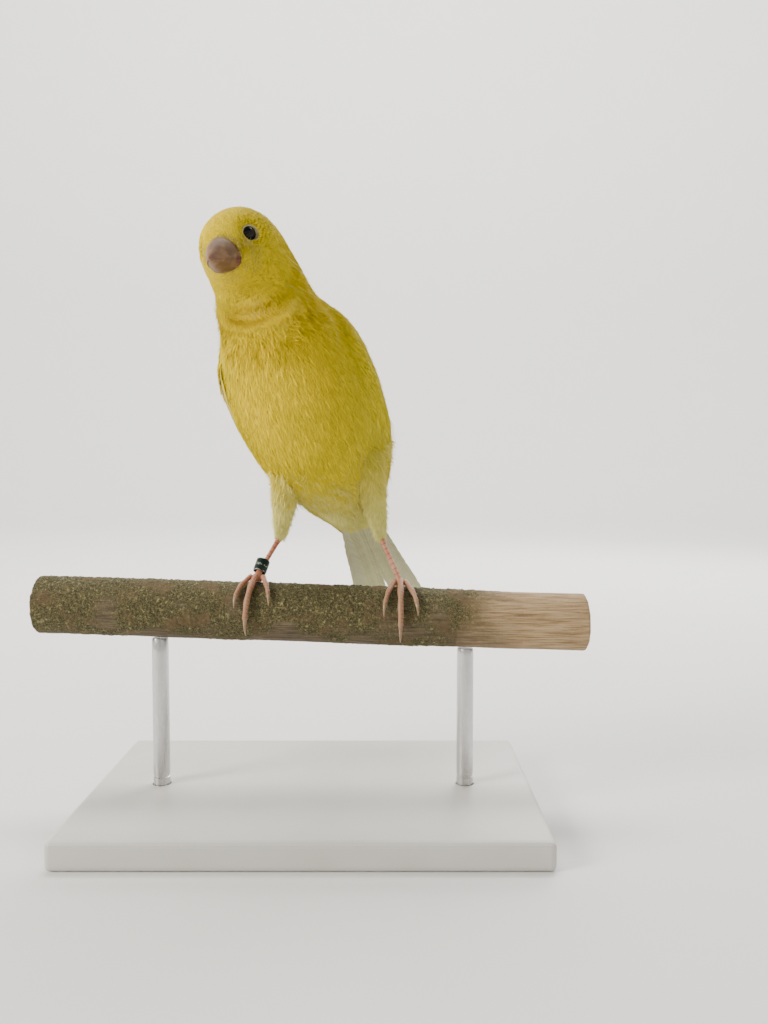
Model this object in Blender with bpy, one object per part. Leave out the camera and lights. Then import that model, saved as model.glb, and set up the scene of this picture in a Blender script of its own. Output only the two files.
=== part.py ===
"""A life-size canary that stands on a cut length of branch, held by a plain display stand.

Sizes are in millimetres and become metres where each mesh is made. +Z is up, and the origin is at the
bottom centre of the stand's base. The branch lies along X. The bird faces -Y, with its left side at +X,
and leans over to its own right. The body from bill to tail root is one sheath of feathered sections,
parted into head, neck and trunk by thin gaps. Every piece keeps a small gap to its neighbours.
"""

import math

import bmesh
import bpy
import numpy as np

MM = 0.001
GAP = 0.3  # clear space between two neighbouring pieces

# Display stand and branch
BASE_SIZE = (132.0, 84.0, 8.0)
BASE_EDGE = 1.6
ROD_RADIUS = 2.5
ROD_SPREAD = 46.0  # each rod's distance from the middle of the branch
ROD_SOCKET = 4.0
BRANCH_HEIGHT = 60.0  # middle of the branch above the floor
BRANCH_RADIUS = 8.75
BRANCH_LENGTH = 164.0
BRANCH_SLOPE = math.radians(1.9)  # the +X end is the lower one

# How the bird holds itself: yaw to its right, pitch and lean to its right, in degrees
TRUNK_POSE = (4.0, 62.0, 19.6)
TAIL_POSE = (4.0, 52.0, 17.8)
HEAD_POSE = (16.5, -5.5, 13.0)
TRUNK_MIDDLE = (-0.2, -5.0, 120.7)
HEAD_MIDDLE = (-17.2, -24.0, 161.9)

# Eye and bill
EYE_RADIUS = 2.5
EYE_PLACE = (4.5, 2.05, 5.0)  # middle of the eyeball: forward, up and to the side of the head's middle
EYE_LOOK = (0.62, 0.02, 0.78)  # the way the eye looks
# The pit that the eye sits in: distance out from the middle of the eyeball, and radius
EYE_PIT = (
    *((-2.8, 0.1), (-2.3, 1.6), (-1.2, 2.53)),
    *((0.2, 2.8), (1.3, 2.48), (1.9, 2.05)),
    *((2.2, 1.9), (3.2, 2.1), (5.0, 3.0)),
)
BILL_LENGTH = 9.8
BILL_HALF_WIDTH = 4.5
BILL_BASE = 10.9

# Tail
TAIL_LENGTH = 50.0
TAIL_WIDTHS = (6.2, 12.8)

# Legs and feet
ANKLES = {"left": (20.4, 9.5, 82.4), "right": (-10.7, 9.5, 82.4)}
KNEES = {"left": (16.6, -3.5, 103.5), "right": (-6.7, -3.5, 102.5)}
HIPS = {"left": (11.5, -6.0, 114.0), "right": (-4.0, -6.0, 111.0)}
FOOT_X = {"left": 26.0, "right": -16.3}
PAD_HEIGHT = 2.2  # where the lower leg widens into the foot, above the branch
# Name, radius, where it leaves the foot and how far it reaches along the branch, length, claw length
TOES = {
    "left": (
        ("inner_toe", 0.8, -1.0, -3.5, 10.3, 3.7),
        ("middle_toe", 0.95, 0.5, -0.2, 17.1, 6.2),
        ("outer_toe", 0.8, 1.5, 3.9, 9.8, 3.5),
        ("hind_toe", 0.9, 0.2, 0.6, 9.0, 6.0),
    ),
    "right": (
        ("outer_toe", 0.8, -1.9, -3.9, 9.6, 3.2),
        ("middle_toe", 0.95, -0.4, -2.3, 16.6, 5.6),
        ("inner_toe", 0.8, 1.3, 2.9, 8.3, 3.4),
        ("hind_toe", 0.9, -0.2, -0.6, 9.0, 6.0),
    ),
}
SIDES = {"left": 1.0, "right": -1.0}

# Leg ring
RING_RADII = (1.55, 2.05)
RING_HEIGHT = 4.0
RING_MIDDLE = (-15.55, 1.85, 74.0)
RING_AXIS = (0.3, 0.65, 1.0)

COLOURS = {
    "plumage": ((0.82, 0.68, 0.10), 0.8, 0.0),
    "wing_feathers": ((0.84, 0.76, 0.34), 0.7, 0.0),
    "tail_feathers": ((0.84, 0.82, 0.58), 0.7, 0.0),
    "thigh_feathers": ((0.86, 0.84, 0.58), 0.85, 0.0),
    "eye": ((0.012, 0.008, 0.007), 0.06, 0.0),
    "bill_horn": ((0.56, 0.38, 0.31), 0.42, 0.0),
    "leg_skin": ((0.72, 0.38, 0.28), 0.55, 0.0),
    "claw_horn": ((0.60, 0.47, 0.36), 0.4, 0.0),
    "leg_ring": ((0.015, 0.045, 0.03), 0.38, 0.6),
    "bark": ((0.27, 0.23, 0.11), 0.9, 0.0),
    "stand_paint": ((0.68, 0.67, 0.64), 0.5, 0.0),
    "stand_metal": ((0.55, 0.55, 0.56), 0.3, 1.0),
}


class Frame:
    """A part of the bird's own axes: forward towards the bill, up its back and left to its left side."""

    def __init__(self, middle, pose):
        y, p, k = np.radians(pose)
        lean = np.array([[math.cos(k), 0, -math.sin(k)], [0, 1, 0], [math.sin(k), 0, math.cos(k)]])
        turn = np.array([[math.cos(y), math.sin(y), 0], [-math.sin(y), math.cos(y), 0], [0, 0, 1]])
        self.middle = np.array(middle, float)
        self.forward = lean @ turn @ np.array([0, -math.cos(p), math.sin(p)])
        self.up = lean @ turn @ np.array([0, math.sin(p), math.cos(p)])
        self.left = np.cross(self.up, self.forward)

    def at(self, forward, up=0.0, left=0.0):
        return self.middle + forward * self.forward + up * self.up + left * self.left


TRUNK = Frame(TRUNK_MIDDLE, TRUNK_POSE)
HEAD = Frame(HEAD_MIDDLE, HEAD_POSE)
TAIL = Frame(TRUNK.at(-41.0, 1.0), TAIL_POSE)

# The body's sections, from bill to tail root. Each has its frame, its point on the back outline and on the
# throat and belly outline (forward, up), its half width, and how high up its widest line lies.
BODY_SECTIONS = (
    ("bill_base", HEAD, (10.5, 2.6), (10.2, -6.8), 4.9, 0.0),
    ("forehead", HEAD, (9.0, 6.2), (8.0, -8.3), 7.4, 0.0),
    ("eye", HEAD, (5.4, 9.2), (5.6, -9.7), 9.2, 0.08),
    ("crown", HEAD, (-0.6, 11.1), (3.2, -11.4), 11.1, 0.05),
    ("hind_crown", HEAD, (-7.6, 9.2), (1.6, -14.0), 11.9, -0.05),
    ("nape", HEAD, (-11.8, 2.2), (0.6, -17.2), 12.7, 0.0),
    ("neck", TRUNK, (32.0, 13.0), (30.0, -13.4), 14.1, 0.0),
    ("shoulder", TRUNK, (21.0, 15.2), (20.5, -17.0), 17.7, 0.05),
    ("breast", TRUNK, (8.0, 16.6), (8.0, -19.6), 20.0, 0.08),
    ("belly", TRUNK, (-6.0, 16.2), (-6.5, -19.4), 19.4, 0.05),
    ("flank", TRUNK, (-18.0, 13.8), (-19.5, -15.4), 16.5, 0.0),
    ("vent", TRUNK, (-29.0, 10.0), (-29.6, -9.4), 12.2, 0.0),
    ("tail_root", TRUNK, (-39.5, 4.8), (-40.8, -2.8), 6.8, 0.0),
)
HEAD_ENDS, NECK_ENDS = 4.55, 6.45  # where the thin gaps part the body, counted in sections
HEAD_CUT, NECK_CUT = 0.14, 0.04

# The folded wing's sections, in the trunk's frame: distance forward, half width and height of the curve
# that it follows, its lower and upper edge as degrees round that curve, and its thickness.
WING_SECTIONS = (
    (22.0, 16.6, 13.4, 8.0, 30.0, 1.0),
    (18.0, 18.4, 14.9, -8.0, 48.0, 1.8),
    (9.0, 20.2, 16.8, -18.0, 66.0, 2.4),
    (-3.0, 20.1, 17.0, -20.0, 77.0, 2.4),
    (-15.0, 18.0, 15.6, -16.0, 82.0, 2.3),
    (-27.0, 14.0, 12.9, -6.0, 83.0, 2.0),
    (-38.0, 10.0, 10.6, 10.0, 82.0, 1.7),
    (-48.0, 7.2, 9.2, 28.0, 79.0, 1.4),
    (-57.0, 5.4, 8.6, 46.0, 72.0, 1.0),
)


def clear_scene():
    for obj in list(bpy.data.objects):
        bpy.data.objects.remove(obj)


def material(name):
    found = bpy.data.materials.get(name)
    if found:
        return found
    colour, roughness, metallic = COLOURS[name]
    made = bpy.data.materials.new(name)
    made.use_nodes = True
    shader = made.node_tree.nodes["Principled BSDF"]
    shader.inputs["Base Color"].default_value = (*colour, 1.0)
    shader.inputs["Roughness"].default_value = roughness
    shader.inputs["Metallic"].default_value = metallic
    return made


def link(name, mesh, material_name):
    obj = bpy.data.objects.new(name, mesh)
    obj.data.materials.append(material(material_name))
    bpy.context.scene.collection.objects.link(obj)
    return obj


def smooth(values, at):
    """The values of a run of sections, read at any place along it through one smooth curve."""
    values = np.asarray(values, float)
    last = len(values) - 1
    i = np.clip(np.floor(at).astype(int), 0, last - 1)
    t = (np.asarray(at, float) - i).reshape(-1, *[1] * (values.ndim - 1))
    before, here, after = values[np.maximum(i - 1, 0)], values[i], values[i + 1]
    beyond = values[np.minimum(i + 2, last)]
    start, end = (after - before) / 2, (beyond - here) / 2
    start = np.where((i == 0).reshape(t.shape), after - here, start)
    end = np.where((i == last - 1).reshape(t.shape), after - here, end)
    return (
        here * (2 * t**3 - 3 * t**2 + 1)
        + start * (t**3 - 2 * t**2 + t)
        + after * (3 * t**2 - 2 * t**3)
        + end * (t**3 - t**2)
    )


def loft(name, rings, material_name):
    """One closed solid through a row of rings, each with the same number of points, given in millimetres."""
    mesh = bpy.data.meshes.new(name)
    work = bmesh.new()
    loops = [[work.verts.new(point * MM) for point in ring] for ring in rings]
    for ring, following in zip(loops, loops[1:]):
        count = len(ring)
        for k in range(count):
            work.faces.new((ring[k], ring[(k + 1) % count], following[(k + 1) % count], following[k]))
    for loop in (loops[0], loops[-1]):
        last = len(loop) - 1
        for k in range(len(loop) // 2 - 1):
            work.faces.new((loop[k], loop[k + 1], loop[last - k - 1], loop[last - k]))
    bmesh.ops.recalc_face_normals(work, faces=work.faces)
    work.to_mesh(mesh)
    work.free()
    obj = link(name, mesh, material_name)
    mesh.shade_smooth()
    mesh.set_sharp_from_angle(angle=math.radians(40))
    return obj


def tube(name, path, widths, heights, up, material_name, sides=10, grow=0.0):
    """A round or oval tube along a path. Widths lie across the path and heights along the up direction."""
    path = np.asarray(path, float)
    along = np.gradient(path, axis=0)
    along /= np.linalg.norm(along, axis=1)[:, None]
    across = np.cross(np.broadcast_to(up, along.shape), along)
    across /= np.linalg.norm(across, axis=1)[:, None]
    rise = np.cross(along, across)
    turn = np.arange(sides) * 2 * math.pi / sides
    rings = (
        path[:, None]
        + np.cos(turn)[None, :, None] * (np.asarray(widths) + grow)[:, None, None] * across[:, None]
        + np.sin(turn)[None, :, None] * (np.asarray(heights) + grow)[:, None, None] * rise[:, None]
    )
    return loft(name, rings, material_name)


def cut(obj, *cutters):
    """Takes the cutters' shapes out of obj. A cutter is a guide and no piece of the bird or its stand."""
    for cutter in cutters:
        modifier = obj.modifiers.new(f"cut_{cutter.name}", "BOOLEAN")
        modifier.operation = "DIFFERENCE"
        modifier.object = cutter
        cutter.hide_render = True
        cutter.display_type = "WIRE"


def body_rings(places, grow=0.0, sides=28):
    """Egg-shaped sections of the body at the given places, counted in BODY_SECTIONS."""
    back = smooth([f.at(*b) for _, f, b, _, _, _ in BODY_SECTIONS], places)
    belly = smooth([f.at(*v) for _, f, _, v, _, _ in BODY_SECTIONS], places)
    left = smooth([f.left for _, f, _, _, _, _ in BODY_SECTIONS], places)
    width = smooth([w for *_, w, _ in BODY_SECTIONS], places)[:, None, None] + grow
    wide = smooth([k for *_, k in BODY_SECTIONS], places)[:, None]
    middle, rise = (back + belly) / 2, (back - belly) / 2
    height = np.linalg.norm(rise, axis=1, keepdims=True)
    up = rise / height
    left -= (left * up).sum(1, keepdims=True) * up
    left /= np.linalg.norm(left, axis=1, keepdims=True)
    turn = np.arange(sides) * 2 * math.pi / sides
    level = np.sin(turn)[None, :]
    level = wide + np.where(level > 0, 1 - wide, 1 + wide) * level
    return (
        middle[:, None]
        + np.cos(turn)[None, :, None] * width * left[:, None]
        + level[:, :, None] * (height + grow)[:, :, None] * up[:, None]
    )


def body_part(name, start, end, rows, grow=0.0):
    return loft(name, body_rings(np.linspace(start, end, rows), grow), "plumage")


def eye_middle(side):
    forward, up, out = EYE_PLACE
    return HEAD.at(forward, up, out * SIDES[side])


def eye(side):
    mesh = bpy.data.meshes.new(f"{side}_eye")
    work = bmesh.new()
    bmesh.ops.create_uvsphere(work, u_segments=14, v_segments=8, radius=EYE_RADIUS * MM)
    bmesh.ops.translate(work, verts=work.verts, vec=tuple(eye_middle(side) * MM))
    work.to_mesh(mesh)
    work.free()
    mesh.shade_smooth()
    return link(f"{side}_eye", mesh, "eye")


def eye_pit(side):
    """The room round an eyeball, opening like a funnel through the plumage of the face."""
    forward, up, out = EYE_LOOK
    look = HEAD.at(forward, up, out * SIDES[side]) - HEAD.middle
    look /= np.linalg.norm(look)
    out, radius = np.array(EYE_PIT).T
    path = eye_middle(side) + out[:, None] * look
    return tube(f"{side}_eye_pit", path, radius, radius, HEAD.up, "eye", sides=14)


def half_bill(name, upper):
    """One mandible: a horn cone, rounded outside and flat along the line where the bill shuts."""
    share = np.linspace(0, 0.97, 9)
    length = BILL_LENGTH if upper else BILL_LENGTH - 1.1
    shut = -2.7 - 0.9 * share**1.5  # height of the mouth line
    wide = BILL_HALF_WIDTH * (1.0 if upper else 0.92) * (1 - share**1.35) ** 0.85
    if upper:
        tall = 4.8 * (1 - share**1.7) ** 0.9 + 0.25
    else:
        tall = -3.1 * (1 - share**1.6) - 0.25
        shut = shut - GAP - 0.05
    turn = np.linspace(0, math.pi, 12)
    rings = []
    for s, low, w, h in zip(share, shut, wide, tall):
        rings.append(
            [HEAD.at(BILL_BASE + length * s, low + h * math.sin(a), w * math.cos(a)) for a in turn]
        )
    return loft(name, rings, "bill_horn")


def wing(side, grow=0.0):
    """A folded wing: a thin curved plate from the wrist at the shoulder to the tips over the tail root."""
    places = np.linspace(0, len(WING_SECTIONS) - 1, 15)
    forward, width, height, low, high, thick = smooth(WING_SECTIONS, places).T
    rings = []
    for f, w, h, a, b, t in zip(forward, width, height, low, high, thick):
        edge = math.degrees(grow / w)
        turn = np.radians(np.linspace(a - edge, b + edge, 8))
        half = t / 2 + grow
        taper = np.array([0.3, 0.85, 1, 1, 1, 1, 0.85, 0.3]) if not grow else np.ones(8)
        outer = [(w + half * k, h + half * k, q) for k, q in zip(taper, turn)]
        inner = [(w - half * k, h - half * k, q) for k, q in zip(taper, turn)]
        rings.append(
            [
                TRUNK.at(f, y * math.sin(q), x * math.cos(q) * SIDES[side])
                for x, y, q in outer + inner[::-1]
            ]
        )
    rings = np.array(rings)
    if grow:
        ahead = grow * TRUNK.forward
        rings[0] += ahead
        rings[-1] -= ahead
    name = f"{side}_wing" if not grow else f"{side}_wing_bed"
    return loft(name, rings, "wing_feathers")


def tail():
    """The long tail feathers as one thin fan, parted along its middle and slightly arched across."""
    share = np.linspace(0, 1, 11)
    width = TAIL_WIDTHS[0] + (TAIL_WIDTHS[1] - TAIL_WIDTHS[0]) * share**1.15
    thick = 2.1 * (1 - share) ** 1.5 + 0.5
    across = np.array([-1.0, -0.85, -0.6, -0.28, 0.0, 0.28, 0.6, 0.85, 1.0])
    reach = np.array([0.93, 0.97, 1.0, 0.985, 0.45, 0.985, 1.0, 0.97, 0.93])
    rings = []
    for s, w, t in zip(share, width, thick):
        arch = -0.9 * across**2 * (0.6 + s)
        edge = t * (1 - 0.6 * across**4)
        back = -TAIL_LENGTH * s * reach
        top = [TAIL.at(f, a + e, w * x) for f, x, a, e in zip(back, across, arch, edge)]
        low = [TAIL.at(f, a - e, w * x) for f, x, a, e in zip(back, across, arch, edge)]
        rings.append(top + low[::-1])
    return loft("tail", rings, "tail_feathers")


def thigh(side):
    """The feathered upper leg, from the flank down and back to the ankle."""
    share = np.linspace(0, 1, 10)
    path = smooth([HIPS[side], KNEES[side], ANKLES[side]], share * 2)
    radius = smooth([2.8, 4.8, 5.9, 6.0, 5.4, 4.6, 3.8, 2.8, 1.6], share * 8)
    made = tube(f"{side}_thigh", path, radius * 0.9, radius, (0, -1, 0), "thigh_feathers", sides=12)
    trim = body_part(f"{side}_thigh_trim", NECK_ENDS, 12.0, 20, grow=GAP + 0.1)
    cut(made, trim, bpy.data.objects[f"{side}_wing_bed"])
    return made


def branch_height(x):
    return BRANCH_HEIGHT - x * math.tan(BRANCH_SLOPE)


def on_branch(x, turn, radius):
    """A point at a radius from the branch's middle line, turned from its top towards the front."""
    return np.array([x, -radius * math.sin(turn), branch_height(x) + radius * math.cos(turn)])


def tarsus(side):
    """The bare lower leg, from under the thigh feathers to the pad of the foot on the branch."""
    ankle = np.array(ANKLES[side])
    foot = on_branch(FOOT_X[side], 0.0, BRANCH_RADIUS + GAP + 0.1)
    down = (foot + (0, 0, PAD_HEIGHT) - ankle) * np.linspace(0.11, 1, 8)[:, None] + ankle
    path = np.vstack([down, foot + (0, -0.05, 1.5), foot + (0, 0, 0.6), foot])
    radius = np.array([1.0, 0.82, 0.75, 0.75, 0.78, 0.82, 0.88, 0.98, 1.65, 1.9, 1.7])
    return tube(f"{side}_tarsus", path, radius, radius * 0.95, (1, 0, 0), "leg_skin", sides=10)


def toe(side, name, girth, leaves, reach, length, claw):
    """One toe wrapped over the branch, with its claw as a piece of its own."""
    hind = -1.0 if name == "hind_toe" else 1.0

    def wrap(distances, lift):
        """Points that far round the branch from its top, lifted clear of the wood."""
        aside = leaves + reach * np.sin(math.pi / 2 * distances / (length + claw))
        turn = hind * distances / (BRANCH_RADIUS + GAP + girth)
        radius = BRANCH_RADIUS + GAP + lift
        return [on_branch(FOOT_X[side] + a, q, r) for a, q, r in zip(aside, turn, radius)]

    start = 2.3
    share = np.linspace(0, 1, 10)
    knuckles = 1 + 0.09 * np.cos(2 * math.pi * share * (3 if length > 14 else 2))
    radius = (girth - 0.2 * share) * knuckles
    path = wrap(start + (length - start) * share, girth * 1.09 + 0.6 * np.clip(1 - 3 * share, 0, 1))
    tube(f"{side}_{name}", path, radius, radius, (1, 0, 0), "leg_skin", sides=8)

    share = np.linspace(0, 1, 6)
    radius = 0.6 * (1 - share) ** 0.8 + 0.12
    lift = 0.75 + 0.45 * np.sin(math.pi * share) - 0.35 * share
    path = wrap(length + GAP + 0.05 + claw * share, lift)
    tube(f"{side}_{name}_claw", path, radius * 0.8, radius, (1, 0, 0), "claw_horn", sides=6)


def leg_ring():
    """A closed metal band that hangs loose round the right lower leg, just above the foot."""
    axis = np.array(RING_AXIS) / np.linalg.norm(RING_AXIS)
    across = np.cross(axis, (0, 1, 0))
    across /= np.linalg.norm(across)
    inner, outer = RING_RADII
    mesh = bpy.data.meshes.new("leg_ring")
    work = bmesh.new()
    corners = [(inner, -0.5), (outer, -0.5), (outer, 0.5), (inner, 0.5)]
    verts = [
        work.verts.new((RING_MIDDLE + across * r + axis * RING_HEIGHT * h) * MM) for r, h in corners
    ]
    edges = [work.edges.new((verts[k], verts[(k + 1) % 4])) for k in range(4)]
    bmesh.ops.spin(
        work,
        geom=verts + edges,
        cent=[v * MM for v in RING_MIDDLE],
        axis=tuple(axis),
        angle=2 * math.pi,
        steps=24,
        use_merge=True,
    )
    bmesh.ops.remove_doubles(work, verts=work.verts, dist=1e-6)
    bmesh.ops.recalc_face_normals(work, faces=work.faces)
    work.to_mesh(mesh)
    work.free()
    return link("leg_ring", mesh, "leg_ring")


def branch():
    """The perch: a cut length of branch, a little uneven, with two broken-edged ends."""
    ends = np.array([-0.5, -0.488, *np.linspace(-0.46, 0.46, 11), 0.488, 0.5])
    x = ends * BRANCH_LENGTH
    swell = 1 + 0.012 * np.sin(x * 0.11) - 0.02 * ends
    edge = np.where(np.abs(ends) > 0.495, 0.95, 1.0)
    radius = BRANCH_RADIUS * np.minimum(swell, 1.0) * edge
    path = [(a, 0, branch_height(a)) for a in x]
    return tube("perch", path, radius, radius, (0, 0, 1), "bark", sides=28)


def box(name, size, middle, bevel, material_name):
    mesh = bpy.data.meshes.new(name)
    work = bmesh.new()
    bmesh.ops.create_cube(work, size=1)
    bmesh.ops.scale(work, verts=work.verts, vec=[s * MM for s in size])
    bmesh.ops.translate(work, verts=work.verts, vec=[m * MM for m in middle])
    if bevel:
        bmesh.ops.bevel(work, geom=work.edges[:], offset=bevel * MM, segments=3, affect="EDGES", profile=0.5)
    work.to_mesh(mesh)
    work.free()
    return link(name, mesh, material_name)


def rod(name, x, radius, bottom, top):
    path = [(x, 0, bottom), (x, 0, top)]
    return tube(name, path, [radius] * 2, [radius] * 2, (0, 1, 0), "stand_metal", sides=24)


def stand():
    """A flat base with two rods, whose tops are hollowed to the branch's round underside."""
    base = box("stand_base", BASE_SIZE, (0, 0, BASE_SIZE[2] / 2), BASE_EDGE, "stand_paint")
    bed_path = [(a, 0, branch_height(a)) for a in (-BRANCH_LENGTH, BRANCH_LENGTH)]
    bed_radius = [BRANCH_RADIUS + GAP] * 2
    bed = tube("rod_bed", bed_path, bed_radius, bed_radius, (0, 0, 1), "bark", sides=48)
    for name, x in (("stand_rod_left", ROD_SPREAD), ("stand_rod_right", -ROD_SPREAD)):
        floor = BASE_SIZE[2] - ROD_SOCKET
        cut(base, rod(f"{name}_socket", x, ROD_RADIUS + GAP, floor, BASE_SIZE[2] + 5))
        cut(rod(name, x, ROD_RADIUS, floor + GAP, branch_height(x) - 4), bed)


def bird():
    head = body_part("head", 0.0, HEAD_ENDS, 16)
    cut(head, eye_pit("left"), eye_pit("right"))
    body_part("neck", HEAD_ENDS + HEAD_CUT, NECK_ENDS, 8)
    trunk = body_part("trunk", NECK_ENDS + NECK_CUT, 12.0, 20)
    cut(trunk, wing("left", GAP), wing("right", GAP))
    half_bill("upper_bill", True)
    half_bill("lower_bill", False)
    tail()
    for side in SIDES:
        eye(side)
        wing(side)
        thigh(side)
        tarsus(side)
        for sizes in TOES[side]:
            toe(side, *sizes)
    leg_ring()


clear_scene()
stand()
branch()
bird()
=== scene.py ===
import math

import bpy
import numpy as np
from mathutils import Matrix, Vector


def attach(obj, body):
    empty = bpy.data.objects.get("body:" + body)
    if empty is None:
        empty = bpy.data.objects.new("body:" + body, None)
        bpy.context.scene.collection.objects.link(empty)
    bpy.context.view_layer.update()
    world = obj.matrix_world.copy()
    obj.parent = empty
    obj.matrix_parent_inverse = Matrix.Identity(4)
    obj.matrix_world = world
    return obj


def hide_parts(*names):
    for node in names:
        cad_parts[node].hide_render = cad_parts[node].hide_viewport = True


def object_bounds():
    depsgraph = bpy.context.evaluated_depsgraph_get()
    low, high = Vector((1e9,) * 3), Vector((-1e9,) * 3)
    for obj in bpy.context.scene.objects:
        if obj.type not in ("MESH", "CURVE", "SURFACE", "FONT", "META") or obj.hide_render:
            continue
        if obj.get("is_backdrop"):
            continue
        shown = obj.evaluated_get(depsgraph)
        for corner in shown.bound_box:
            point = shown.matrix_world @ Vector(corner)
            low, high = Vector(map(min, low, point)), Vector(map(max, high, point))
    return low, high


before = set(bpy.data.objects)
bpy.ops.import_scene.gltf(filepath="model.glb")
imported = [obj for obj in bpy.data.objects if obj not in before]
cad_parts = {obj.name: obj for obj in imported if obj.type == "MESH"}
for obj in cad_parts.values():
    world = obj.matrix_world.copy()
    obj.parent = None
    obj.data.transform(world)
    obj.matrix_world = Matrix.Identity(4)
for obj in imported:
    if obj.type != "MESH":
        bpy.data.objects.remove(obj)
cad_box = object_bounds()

# Stand base.
# The real one is a flat block of wood with softened edges, drilled for two rods and sprayed a warm grey.
# Its shape is the solid's own, so that only its paint is made here: a thin satin coat, faintly mottled,
# with a fine orange peel and the wood's grain showing through it.
MM = 0.001


def join(tree, node, sockets):
    """Gives each named socket of a node its constant, or joins it to the output that is given for it."""
    for key, value in (sockets or {}).items():
        if isinstance(value, bpy.types.NodeSocket):
            tree.links.new(value, node.inputs[key])
        else:
            node.inputs[key].default_value = value
    return node


def add(tree, kind, sockets=None, **settings):
    """Puts a shader node of a kind in a tree, with its settings and sockets."""
    node = tree.nodes.new("ShaderNode" + kind)
    for key, value in settings.items():
        setattr(node, key, value)
    return join(tree, node, sockets)


def mixed(tree, share, first, second, blend="MIX"):
    """The colour between two colours, at a share of the way from the first to the second."""
    node = add(tree, "Mix", {0: share, 6: first, 7: second}, data_type="RGBA", blend_type=blend)
    return node.outputs[2]


def ranged(tree, value, low, high, to_low=0.0, to_high=1.0):
    """A value moved from one range to another with soft ends."""
    sockets = {0: value, 1: low, 2: high, 3: to_low, 4: to_high}
    return add(tree, "MapRange", sockets, interpolation_type="SMOOTHSTEP").outputs[0]


def worked(tree, operation, first, second=0.0):
    """One step of arithmetic on one or two values."""
    return add(tree, "Math", {0: first, 1: second}, operation=operation).outputs[0]


def object_place(tree, stretch=(1.0, 1.0, 1.0)):
    """The place on the object in millimetres, stretched along its axes."""
    here = add(tree, "TexCoord").outputs["Object"]
    scale = tuple(1000 * s for s in stretch)
    return add(tree, "Mapping", {"Vector": here, "Scale": scale}).outputs[0]


def noise(tree, place, scale, detail=3.0, rough=0.55):
    """Soft random values, so many cells to a millimetre."""
    sockets = {"Vector": place, "Scale": scale, "Detail": detail, "Roughness": rough}
    return add(tree, "TexNoise", sockets).outputs[0]


def raised(tree, height, distance_mm, strength):
    """Fine relief in the shading alone, from a height."""
    sockets = {"Height": height, "Strength": strength, "Distance": distance_mm * MM}
    return add(tree, "Bump", sockets).outputs[0]


def new_material(name, roughness, metallic=0.0, constants=None):
    """A material with its own Principled shader. Constants that don't vary are set on its sockets."""
    made = bpy.data.materials.new(name)
    made.use_nodes = True
    shader = made.node_tree.nodes["Principled BSDF"]
    shader.inputs["Roughness"].default_value = roughness
    shader.inputs["Metallic"].default_value = metallic
    for key, value in (constants or {}).items():
        shader.inputs[key].default_value = value
    return made, made.node_tree, shader


def finish_shader(tree, shader, **joined):
    """Joins outputs to the shader's sockets by name."""
    for key, value in joined.items():
        tree.links.new(value, shader.inputs[key.replace("_", " ").title()])


def new_group(name, numbers=(), colours=(), outputs=()):
    """An empty node group with number and colour inputs, and outputs named with their kinds."""
    tree = bpy.data.node_groups.new(name, "ShaderNodeTree")
    for label, value in numbers:
        socket = tree.interface.new_socket(label, in_out="INPUT", socket_type="NodeSocketFloat")
        socket.default_value = value
    for label, value in colours:
        socket = tree.interface.new_socket(label, in_out="INPUT", socket_type="NodeSocketColor")
        socket.default_value = (*value, 1.0)
    for label, kind in outputs:
        tree.interface.new_socket(label, in_out="OUTPUT", socket_type="NodeSocket" + kind)
    return tree, tree.nodes.new("NodeGroupInput"), tree.nodes.new("NodeGroupOutput")


def placed_group(tree, group, sockets=None):
    """A node group's outputs, in a tree that uses it."""
    node = tree.nodes.new("ShaderNodeGroup")
    node.node_tree = group
    return join(tree, node, sockets).outputs


# Mottle: soft blotches and fine grain of one colour over another, for paint, horn, skin and wood.
MOTTLE, entry, leaving = new_group(
    "mottle",
    numbers=(("Blotch mm", 4.0), ("Grain mm", 0.3), ("Blotch share", 0.5)),
    colours=(("Main", (0.5, 0.5, 0.5)), ("Blotch", (0.4, 0.4, 0.4))),
    outputs=(("Colour", "Color"), ("Blotches", "Float"), ("Grain", "Float")),
)
place = object_place(MOTTLE)
wide = noise(MOTTLE, place, worked(MOTTLE, "DIVIDE", 1.0, entry.outputs["Blotch mm"]))
fine = noise(MOTTLE, place, worked(MOTTLE, "DIVIDE", 1.0, entry.outputs["Grain mm"]), 2.0)
blotches = ranged(MOTTLE, worked(MOTTLE, "ADD", wide, worked(MOTTLE, "MULTIPLY", fine, 0.25)), 0.5, 0.8)
share = worked(MOTTLE, "MULTIPLY", blotches, entry.outputs["Blotch share"])
colour = mixed(MOTTLE, share, entry.outputs["Main"], entry.outputs["Blotch"])
for socket, value in zip(leaving.inputs, (colour, blotches, fine)):
    MOTTLE.links.new(value, socket)


def mottled(tree, blotch_mm, grain_mm, blotch_share, main, blotch):
    """The mottle in a material: the sizes of its blotches and grain, how strong its blotches are and its
    two colours."""
    sockets = {"Blotch mm": blotch_mm, "Grain mm": grain_mm, "Blotch share": blotch_share}
    return placed_group(tree, MOTTLE, sockets | {"Main": (*main, 1), "Blotch": (*blotch, 1)})


def stand_paint():
    """Light warm grey satin paint with a fine orange peel over the wood's grain."""
    made, tree, shader = new_material("stand_paint", 0.45)
    coat = mottled(tree, 22.0, 0.5, 0.35, (0.56, 0.545, 0.51), (0.50, 0.48, 0.44))
    grain = noise(tree, object_place(tree, (0.12, 2.2, 1.0)), 1.0, 4.0)
    rough = ranged(tree, coat["Grain"], 0.2, 0.8, 0.38, 0.52)
    height = worked(tree, "ADD", worked(tree, "MULTIPLY", grain, 0.5), coat["Grain"])
    finish_shader(tree, shader, base_color=coat["Colour"], roughness=rough,
                  normal=raised(tree, height, 0.05, 0.5))
    return made


def wear(obj, *materials):
    """Gives a mesh these materials, in this order, in place of its own."""
    obj.data.materials.clear()
    for one in materials:
        obj.data.materials.append(one)
    return obj


wear(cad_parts["stand_base"], stand_paint())

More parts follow.
